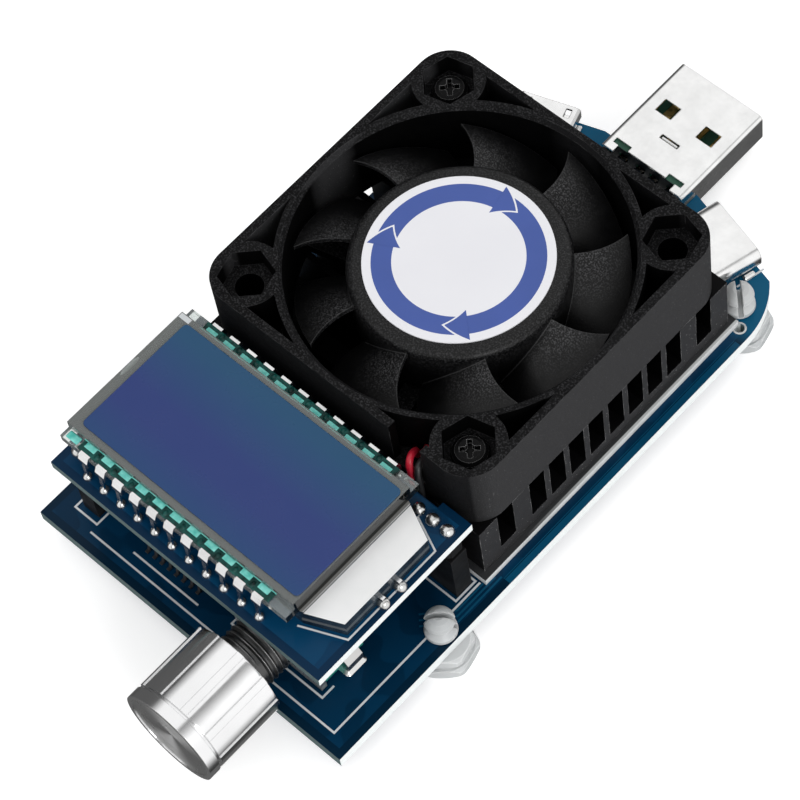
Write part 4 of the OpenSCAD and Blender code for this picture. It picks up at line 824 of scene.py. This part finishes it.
pin_xs = np.linspace(pin_low.x / mm + pin_half, pin_high.x / mm - pin_half, pin_count)
leg_front = (pin_low.y - axis_y) / mm + leg_half
leg_rear = (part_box("lcd_pins_rear")[1].y - axis_y) / mm - leg_half


def bead(x, y, z, radius, height, depth=None):
    """Low round bead: half an ellipsoid standing on z, squeezed along Y where a depth is given."""
    t = np.linspace(0, np.pi / 2, 8)
    grid = turned(np.column_stack([np.cos(t), np.sin(t)]) * [radius, height], x, y, z, 16)
    if depth:
        grid[..., 1] = (grid[..., 1] - axis_y - y * mm) * depth / radius + axis_y + y * mm
    return grid


top_joints = [bead(x, right_y, disp_top, 0.85, 0.92) for x in right_xs]
top_joints += [bead(left_x, y, disp_top, 0.85, 0.92) for y in left_ys]
top_joints += [bead(x, leg_front, disp_top, 0.6, 0.7) for x in pin_xs]
top_joints += [bead(x, leg_rear, disp_top, 0.5, 0.55) for x in pin_xs]
lamp_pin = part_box("backlight_pins")[1].x / mm - 0.25
lamp_pin_half = 1.27
top_joints += [bead(lamp_pin, lcd_y + s * lamp_pin_half, disp_top, 0.75, 0.9) for s in both_ends]
piece("display_solder", top_joints, solder_tin)

# Backlight: clear acrylic guide; its lamp tab tapers to the right and has a white reflector on top.
# The clear sides are painted dark as a painted reflection, and the part under the glass carries painted shade
# that lightens near the glass's left end.
light_guide, tree, shader = finish("light_guide", (0.85, 0.86, 0.86), 0.3)
across = place(tree)["X"]
on_tab = span(tree, across, 0, 1, glass_high.x + 0.3 * mm, glass_high.x + 0.4 * mm)
up = facing(tree, "Z")
paper = blend_colours(tree, span(tree, mottle(tree, 250), 0, 1), (0.84, 0.85, 0.85), (0.91, 0.91, 0.91))
streaks = span(tree, mottle(tree, 500, 3, (1, 1, 0.2)), 0, 1)
# Painted reflection: the upright sides of the clear guide are dark with streaks.
side = blend_colours(tree, streaks, (0.004, 0.008, 0.014), (0.03, 0.045, 0.06))
# Painted shade under the glass, lighter near the glass's left end.
from_left = span(tree, across, 0, 1, glass_low.x + 0.8 * mm, glass_low.x + 2.2 * mm)
under_glass_shade = blend_colours(tree, from_left, (0.55, 0.55, 0.54), (0.2, 0.2, 0.19))
tone = blend_colours(tree, up, side, blend_colours(tree, on_tab, under_glass_shade, paper))
coat(tree, shader, tone, span(tree, up, 0.1, 0.4, 0, 1), mottle(tree, 700, 2), 0.000004, 0.00008)
dress(light_guide, "backlight")
dress(tin, "backlight_pins", "lcd_pins_front", "lcd_pins_rear")

# Display glass: two ground plates, clear at the border, with a bluish polarizing film stuck on top.
# The film is a fresh sheet that stands for the plain one and reaches nearer to the glass's right end.
# Clip pins bite the rear plate's long edges and are fixed with beads of teal ultraviolet glue.
clear_glass, tree, shader = finish("display_glass", (0.76, 0.82, 0.8), 0.04)
shader.inputs["Transmission Weight"].default_value = 0.84
shader.inputs["IOR"].default_value = 1.5
# Painted shade: the glass's faces that look along X are dark.
tone = blend_colours(tree, facing(tree, "X"), (0.76, 0.82, 0.8), (0.02, 0.024, 0.024))
gloss = span(tree, mottle(tree, 400), 0.02, 0.08)
coat(tree, shader, tone, gloss, mottle(tree, 150, 2), 0.000003, 0.0001)
dress(clear_glass, "lcd_front_glass", "lcd_rear_glass")
film, tree, shader = finish("polarizing_film", (0.02, 0.05, 0.2), 0.3)
shader.inputs["Specular IOR Level"].default_value = 0.25
along = place(tree)["Y"]
film_mid = (lamp_low.y + lamp_high.y) / 2
# Painted sheen: the film's hue shifts along Y, violet in a middle band and bluer towards the front and the
# back.
rear_hue = span(tree, along, 0, 1, film_mid - 0.5 * mm, film_mid + 6.5 * mm)
front_hue = span(tree, along, 0.8, 0, film_mid - 7.5 * mm, film_mid - 3.5 * mm)
violet_rear = blend_colours(tree, rear_hue, (0.025, 0.047, 0.185), (0.017, 0.077, 0.168))
hue = blend_colours(tree, front_hue, violet_rear, (0.018, 0.062, 0.175))
gloss = span(tree, mottle(tree, 250), 0.24, 0.36)
coat(tree, shader, hue, gloss, mottle(tree, 2200, 2), 0.000002)
film_low, film_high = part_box("lcd_polarizer")
film_right = glass_right - 0.22
film_left = film_low.x / mm
film_deep, film_thick = (film_high.y - film_low.y) / mm, (film_high.z - film_low.z) / mm
film_size = (film_right - film_left, film_deep, film_thick)
film_y = ((film_low.y + film_high.y) / 2 - axis_y) / mm
film_sheet = block((film_left + film_right) / 2, film_y, film_low.z, film_size, 0.04, 0.5)
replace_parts(piece("display_film", [film_sheet], film), "lcd_polarizer")
# The one teal glue is drawn in two copies: this dark one is painted shade between the pins, and the bright
# one below is painted light on the patches over the pins.
glue = worn("teal_glue", (0.001, 0.012, 0.011), (0.008, 0.1, 0.085), 0.08, 0.2, 0.00002, 0.00002,
            shine=0.25)
painted_lit_glue = worn("lit_glue", (0.06, 0.5, 0.43), (0.26, 0.78, 0.7), 0.1, 0.25, 0.00002, 0.00001)
ledge_front = (glass_low.y - axis_y) / mm
ledge_rear = (glass_high.y - axis_y) / mm
run_long = pin_xs[-1] - pin_xs[0] + 2.6
run_x = (pin_xs[0] + pin_xs[-1]) / 2
gap_xs = (pin_xs[1:] + pin_xs[:-1]) / 2


def ledges(inset):
    """Y of the lines so many millimetres inside the rear glass's front and rear edges."""
    return ledge_front + inset, ledge_rear - inset


glue_runs = [block(run_x, y, glass_high.z, (run_long, 1.2, 0.3), 0.1) for y in ledges(0.66)]
glue_runs += [bead(x, y, glass_high.z, 0.38, 0.48, 0.5) for x in gap_xs for y in ledges(0.55)]
piece("pin_glue", glue_runs, glue)
patches = [block(x, y, glass_high.z, (1.45, 0.7, 0.4), 0.05) for x in pin_xs for y in ledges(0.93)]
patches.append(block(pin_xs[0] - 2.4, ledge_front + 0.7, glass_high.z, (1.7, 0.9, 0.3), 0.14))
patches += [block(run_x, y, glass_high.z, (run_long, 0.14, 0.34), 0.05) for y in ledges(1.3)]
piece("pin_glue_lit", patches, painted_lit_glue)
front_low, front_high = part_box("lcd_front_glass")
corner_y = (front_high.y - axis_y) / mm - 0.4
corner_x = front_low.x / mm + 0.85
patch = block(corner_x, corner_y, front_high.z, (1.5, 0.6, 0.03), 0.01)
piece("corner_patch", [patch], legend_white)
seal = bead(front_low.x / mm, lcd_y + 0.5, glass_low.z + 0.3 * mm, 0.4, 1.5, 1.7)
piece("fill_seal", [seal], nylon)

# Knob: turned aluminium shell with raised ribs, finely grooved panels between them and a spun front disc.
# A black core inside grips the encoder's flatted shaft.
turned_metal = worn("turned_aluminium", (0.86, 0.86, 0.865), (0.92, 0.92, 0.925), 0.16, 0.24, 0.00018,
                    0.000002, 0.0001, (0.3, 1, 0.3), metal=1.0)


def lathe_marks(material, strength):
    """Draws highlights out across fine turning marks that run round the knob's axis."""
    shader = shader_of(material)
    shader.inputs["Anisotropic"].default_value = strength
    shader.inputs["Anisotropic Rotation"].default_value = 0.25
    tangent = add_node(material.node_tree, "Tangent", direction_type="RADIAL", axis="Y")["Tangent"]
    material.node_tree.links.new(tangent, shader.inputs["Tangent"])


lathe_marks(turned_metal, 0.7)
dress(turned_metal, "knob_shell", "encoder_shaft")
dress(black_moulding, "knob_core")
spun, tree, shader = finish("spun_disc", (0.72, 0.72, 0.72), 0.3, 1.0)
lathe_marks(spun, 0.9)
wave = {"Vector": mapped(tree, (-knob_axis.x, 0, -knob_axis.z)), "Scale": 2200, "Distortion": 0.6}
tree.links.new(span(tree, mottle(tree, 900), 0.27, 0.31), shader.inputs["Roughness"])
relief(tree, shader, add_node(tree, "TexWave", wave, wave_type="RINGS", rings_direction="Y")["Fac"], 0.000002)
dress(spun, "knob_disc")
shell_low, shell_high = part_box("knob_shell")
grip_start = shell_low.y / mm + 1.75
grip_stop = shell_high.y / mm
rib_count = 10
first_rib = np.radians(-2.6)
rib_half = 0.068
groove_r, groove_rise, groove_deep = 5.835, 0.03, 0.02


def turned_panel(panel, grooves=30, rows=13):
    """Grip panel between two ribs: part of a cylinder about Y whose radius follows a fine sharp ripple
    of turning grooves along its length. It ends inside the ribs and sinks to the shell at both ends."""
    width = 2 * np.pi / rib_count
    start = first_rib + panel * width + rib_half
    turn = np.linspace(0, width - 2 * rib_half, rows)[:, None]
    steps = np.arange(2 * grooves + 3)
    along = np.linspace(grip_start + 0.02, grip_stop - 0.02, len(steps))[None, :]
    raised = np.ones((rows, len(steps)))
    raised[[0, -1]] = 0
    raised[:, [0, -1]] = 0
    radius = groove_r + (groove_rise + groove_deep * (steps % 2)[None, :]) * raised
    angle = start + turn
    along = np.broadcast_to(along, radius.shape)
    grid = np.stack([radius * np.cos(angle), along, -radius * np.sin(angle)], axis=-1)
    return grid * mm + [knob_axis.x, 0, knob_axis.z]


panels = [turned_panel(k) for k in range(rib_count)]
piece("knob_panels", panels, turned_metal, body="knob", crease=60, closed_round=False)

# Stage: a pale seamless floor in a white room that is dimmer on the left, below and in one band on the
# right, two soft light panels, and the camera of the photograph. None of it belongs to the part.
floor_mesh = bpy.data.meshes.new("studio_floor")
reach = 3.0
floor_mesh.from_pydata([(-reach, -reach, 0), (reach, -reach, 0), (reach, reach, 0), (-reach, reach, 0)], [],
                       [(0, 1, 2, 3)])
floor = bpy.data.objects.new("studio_floor", floor_mesh)
bpy.context.scene.collection.objects.link(floor)
pale, tree, shader = finish("pale_floor", (0.9, 0.9, 0.9), 0.6)
shader.inputs["Emission Color"].default_value = (1, 1, 1, 1)
shader.inputs["Emission Strength"].default_value = 0.45
tree.links.new(span(tree, mottle(tree, 30), 0.55, 0.7), shader.inputs["Roughness"])
floor_mesh.materials.append(pale)
floor.visible_glossy = False
world = bpy.data.worlds.new("soft_room")
bpy.context.scene.world = world
world.use_nodes = True
tree = world.node_tree
towards = add_node(tree, "SeparateXYZ", {"Vector": add_node(tree, "TexCoord")["Generated"]})
left_wall = span(tree, towards["X"], 0.1, 1.02, -0.75, -0.5)
table_shade = span(tree, towards["Z"], 0.12, 1, -0.8, -0.45)
near_beam = span(tree, towards["X"], 1, 0.25, 0.36, 0.42)
far_beam = span(tree, towards["X"], 0, 0.8, 0.45, 0.78)
beam = add_node(tree, "Math", {0: near_beam, 1: far_beam}, operation="ADD")["Value"]
left_wall = product(tree, left_wall, beam)
tree.nodes["Background"].inputs["Color"].default_value = (1, 1, 1, 1)
tree.links.new(product(tree, left_wall, table_shade), tree.nodes["Background"].inputs["Strength"])


def soft_panel(name, spot, size, power):
    """Square light panel that looks at the middle of the object."""
    data = bpy.data.lights.new(name, "AREA")
    data.size = size
    data.energy = power
    made = bpy.data.objects.new(name, data)
    made.location = spot
    target = Vector((0, 0, 0.01))
    made.rotation_euler = (target - Vector(spot)).to_track_quat("-Z", "Y").to_euler()
    bpy.context.scene.collection.objects.link(made)


soft_panel("right_panel", (0.62, -0.3, 0.42), size=0.3, power=1.5)
soft_panel("front_panel", (-0.4, -0.5, 0.4), size=0.35, power=0.2)
camera_data = bpy.data.cameras.new("photo_camera")
camera_data.sensor_width = 36
camera_data.lens = 148.81
camera_data.clip_start = 0.01
camera_data.clip_end = 20
camera = bpy.data.objects.new("photo_camera", camera_data)
camera_far, camera_left, camera_down = 349.88, 6.168, 15.278
back = Vector((0.3967, -0.3036, 0.8663)).normalized()
right = Vector((0.7305, 0.6760, -0.0976)).normalized()
up = back.cross(right).normalized()
right = up.cross(back).normalized()
fan_face = Vector((0, axis_y, fan_high.z))
camera_place = fan_face + (camera_far * back - camera_left * right - camera_down * up) * mm
turn = Matrix((right, up, back)).transposed().to_4x4()
camera.matrix_world = Matrix.Translation(camera_place) @ turn
bpy.context.scene.collection.objects.link(camera)
bpy.context.scene.camera = camera
bpy.context.scene.view_settings.view_transform = "Standard"
